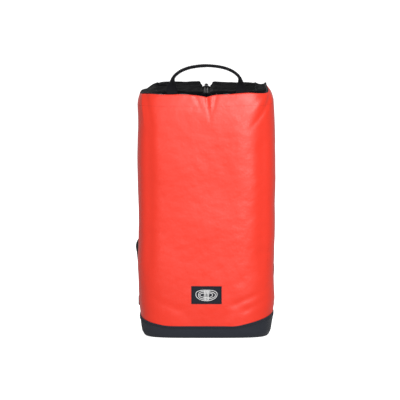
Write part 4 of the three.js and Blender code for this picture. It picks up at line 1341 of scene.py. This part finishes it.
def add_strap_webbing(side, route):
    """Webbing sewn down the outer face of the pad; it goes round the buckle's top bar and back up."""
    shares = np.linspace(0, 1, len(route))
    along = unit(np.gradient(route, axis=0))
    through = unit(np.cross((1.0, 0, 0), along))
    through *= np.sign(through[:, 1:2])
    thick = np.array([strap_size(share)[1] for share in shares])
    line = route + through * (thick / 2 + 1.5 * MM)[:, None]
    lock = f"ladder_lock_{side}"
    x, y = middle_of(lock).xy
    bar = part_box(lock)[1].z - 3 * MM
    round_bar = [(4.4, 4), (3.9, 1), (1.2, -3.4), (-2.6, -1), (-3.6, 3), (-4.2, 6)]
    wrap = [(x, y + behind * MM, bar + up * MM) for behind, up in round_bar]
    path = resample(catmull(np.vstack([line[14:-3:6], wrap]), 700), 220)
    piece = Builder(f"strap_webbing_piece_{side}")
    out = piece.strip(path, (1, 0, 0), 22 * MM, 1.6 * MM)
    sewn = slice(2, 190)
    outward = out * np.sign(out[:, 1:2])
    for shift in (-9 * MM, 9 * MM):
        seam = path + (shift, 0, 0) + outward * 0.85 * MM
        piece.stitches(seam[sewn], outward[sewn], 1, 3.2 * MM, 0.4 * MM)
    piece.make([WEBBING, BLACK_THREAD], f"strap_{side}", [f"strap_webbing_{side}"])


# Points that each slack webbing passes: outward from the middle, back and up, in mm.
BOWS = {
    "left": [(99, 121, 198), (112, 125, 190), (133, 124, 187), (144, 121, 172), (142, 114, 148),
             (138, 107, 108)],
    "right": [(99, 121, 196), (108, 124, 180), (127, 121, 158), (138.5, 116, 132), (138, 108, 100)],
}


def add_lower_webbing(side, sign):
    """The slack adjusting webbing, from its loose tail round the buckle's bar to the corner seam's tab."""
    lock, tab = f"ladder_lock_{side}", f"lower_strap_tab_{side}"
    x, y, z = middle_of(lock) / MM
    end_x = max(abs(corner.x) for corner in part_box(tab)) / MM - 5
    end_z = middle_of(tab).z / MM
    at_lock = [(-6.2, -44), (-5.4, -22), (-4.4, -4), (-2.6, 4.4), (0, 5.6), (3.0, 3.6), (3.4, -2.5),
               (0.6, -6.6), (-1.8, -10.5), (-2.4, -15)]
    at_tab = [(103.2, 18), (104.2, 4), (102.4, -6)]
    route = [(sign * x, y + behind, z + up) for behind, up in at_lock]
    route += BOWS[side]
    route += [(end_x, behind, end_z + up) for behind, up in at_tab]
    path = resample(catmull([(sign * px, py, pz) for px, py, pz in route], 1400), 320) * MM
    share = np.linspace(0, 1, 320)
    start = float(share[np.argmin(np.abs(path[:, 2] - (z - 16) * MM) + (share < 0.3))])
    turn = smoothstep(share, start, start + 0.2)[:, None]
    across = (1 - turn) * (1, 0, 0) + turn * (sign * 0.24, 1, 0)
    piece = Builder(f"adjusting_webbing_{side}")
    piece.strip(path, across, 20 * MM, 1.5 * MM)
    obj = piece.make([WEBBING], None, [f"lower_webbing_{side}"])
    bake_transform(obj)


def add_lower_tab(side, sign):
    """A doubled tab caught in the back corner seam, sewn across near its tip."""
    node = f"lower_strap_tab_{side}"
    low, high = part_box(node)
    z = (low.z + high.z) / 2
    ring = Outline(z, -1.2 * MM)
    root = ring.points(sign * ring.corner)
    tip = (high.x if sign > 0 else low.x, high.y - 1.4 * MM)
    middle = ((root[0] + tip[0]) / 2 + sign * 1.5 * MM, (root[1] + tip[1]) / 2 - 1 * MM)
    path = resample(catmull([(*root, z), (*middle, z), (*tip, z)], 120), 50)
    piece = Builder(f"corner_tab_{side}")
    through = piece.strip(path, (0, 0, 1), lambda share: (26 - 6 * share) * MM, 3 * MM)
    seam = np.linspace(-8, 8, 12)[:, None] * MM * (0, 0, 1)
    for at in (24, 38):
        for face in (-1, 1):
            line = path[at] + through[at] * face * 1.5 * MM + seam
            piece.stitches(line, through[at] * face, 1, 2.6 * MM, 0.4 * MM)
    piece.make([WEBBING, BLACK_THREAD], "shell", [node])


def add_rope_loop(node):
    """A webbing loop inside, sewn flat to the back panel above and below its eye."""
    low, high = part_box(node)
    back, depth = high.y - 1 * MM, high.y - low.y - 2 * MM
    middle, half = (low.z + high.z) / 2, (high.z - low.z) / 2
    leg = half * 0.55
    shape = [(0, half), (-1 * MM, leg + 3 * MM), (-0.7 * depth, leg), (-depth, 0), (-0.7 * depth, -leg),
             (-1 * MM, -leg - 3 * MM), (0, -half)]
    path = resample(catmull([(0, back + y, middle + z) for y, z in shape], 300), 90)
    piece = Builder(f"{node}_webbing")
    through = piece.strip(path, (1, 0, 0), 20 * MM, 1.9 * MM)
    for at in (6, 12, 77, 83):
        line = path[at] - through[at] * np.sign(through[at][1]) * 1.0 * MM
        line = line + np.linspace(-8, 8, 14)[:, None] * MM * (1, 0, 0)
        piece.stitches(line, (0, -1, 0), 1, 2.4 * MM, 0.4 * MM)
    piece.make([WEBBING, BLACK_THREAD], "shell", [node])


add_back_pad()
add_yoke()
for side, sign in SIDES:
    centre_line = strap_route(side)
    add_shoulder_pad(side, centre_line)
    add_strap_webbing(side, centre_line)
    add_lower_webbing(side, sign)
    add_lower_tab(side, sign)
for loop_node in ("rope_loop_low", "rope_loop_high"):
    add_rope_loop(loop_node)

# --- Hard parts that keep their CAD shape ---


def finish_node(node, material, bevel):
    obj = frame["nodes"][node]
    obj.data.materials.clear()
    obj.data.materials.append(material)
    rounding = obj.modifiers.new("edges", "BEVEL")
    rounding.width = bevel
    rounding.segments = 2
    rounding.limit_method = "ANGLE"
    rounding.harden_normals = True


for hard_node, finish, edge_radius in [
    ("zip_slider", METAL, 0.25 * MM), ("zip_pull", METAL, 0.3 * MM), ("zip_stop_front", METAL, 0.3 * MM),
    ("zip_stop_back", METAL, 0.3 * MM), ("ladder_lock_left", PLASTIC, 0.6 * MM),
    ("ladder_lock_right", PLASTIC, 0.6 * MM), ("base_board", BOARD, 0.6 * MM),
]:
    finish_node(hard_node, finish, edge_radius)

# --- Stage, light and camera ---


def add_stage():
    """A white floor and a soft white sky. The floor doesn't light the bag or show in it, so that the
    lamps alone shape its walls."""
    mesh = bpy.data.meshes.new("floor")
    reach = 60
    corners = [(-reach, -reach, 0), (reach, -reach, 0), (reach, reach, 0), (-reach, reach, 0)]
    mesh.from_pydata(corners, [], [(0, 1, 2, 3)])
    floor = bpy.data.objects.new("floor", mesh)
    bpy.context.scene.collection.objects.link(floor)
    look = Look("pale_floor", (0.92, 0.92, 0.92), 0.9, specular=0.1)
    look.set("Emission Color", (1, 1, 1, 1))
    look.set("Emission Strength", 0.86)
    mesh.materials.append(look.done())
    floor.location.z = -0.2 * MM
    floor.visible_diffuse = False
    floor.visible_glossy = False
    world = bpy.data.worlds.new("studio")
    world.use_nodes = True
    world.node_tree.nodes["Background"].inputs["Color"].default_value = (1, 1, 1, 1)
    world.node_tree.nodes["Background"].inputs["Strength"].default_value = 0.4
    bpy.context.scene.world = world
    bpy.context.scene.view_settings.view_transform = "Standard"


def add_light(name, location, target, size, power):
    data = bpy.data.lights.new(name, "AREA")
    data.shape = "RECTANGLE"
    data.size, data.size_y = size
    data.energy = power
    light = bpy.data.objects.new(name, data)
    light.location = location
    light.rotation_mode = "QUATERNION"
    light.rotation_quaternion = (Vector(target) - Vector(location)).to_track_quat("-Z", "Y")
    bpy.context.scene.collection.objects.link(light)


def add_camera():
    """A long lens, straight on and a little above; the bag stands slightly right of the middle."""
    elevation = math.radians(5.5)
    lens, frame_width = 400, 0.824
    data = bpy.data.cameras.new("camera")
    data.lens = lens
    data.sensor_width = 36
    distance = lens * frame_width / data.sensor_width
    target = Vector((-13.2 * MM, 0, 275.6 * MM))
    back = Vector((0, -math.cos(elevation), math.sin(elevation)))
    camera = bpy.data.objects.new("camera", data)
    camera.location = target + back * distance
    camera.rotation_mode = "QUATERNION"
    camera.rotation_quaternion = (-back).to_track_quat("-Z", "Y")
    data.clip_end = 200
    bpy.context.scene.collection.objects.link(camera)
    bpy.context.scene.camera = camera


add_stage()
add_camera()
add_light("key", (0.75, -2.9, 1.2), (0.02, 0, 0.3), (0.9, 1.8), 64)
add_light("fill", (-1.0, -2.8, 0.8), (0, 0, 0.25), (1.2, 1.6), 12)
add_light("back", (-0.9, 2.4, 2.2), (0, 0, 0.3), (1.2, 1.6), 18)
add_light("top", (0, 0.7, 2.2), (0, 0, 0.5), (1.6, 0.8), 5)
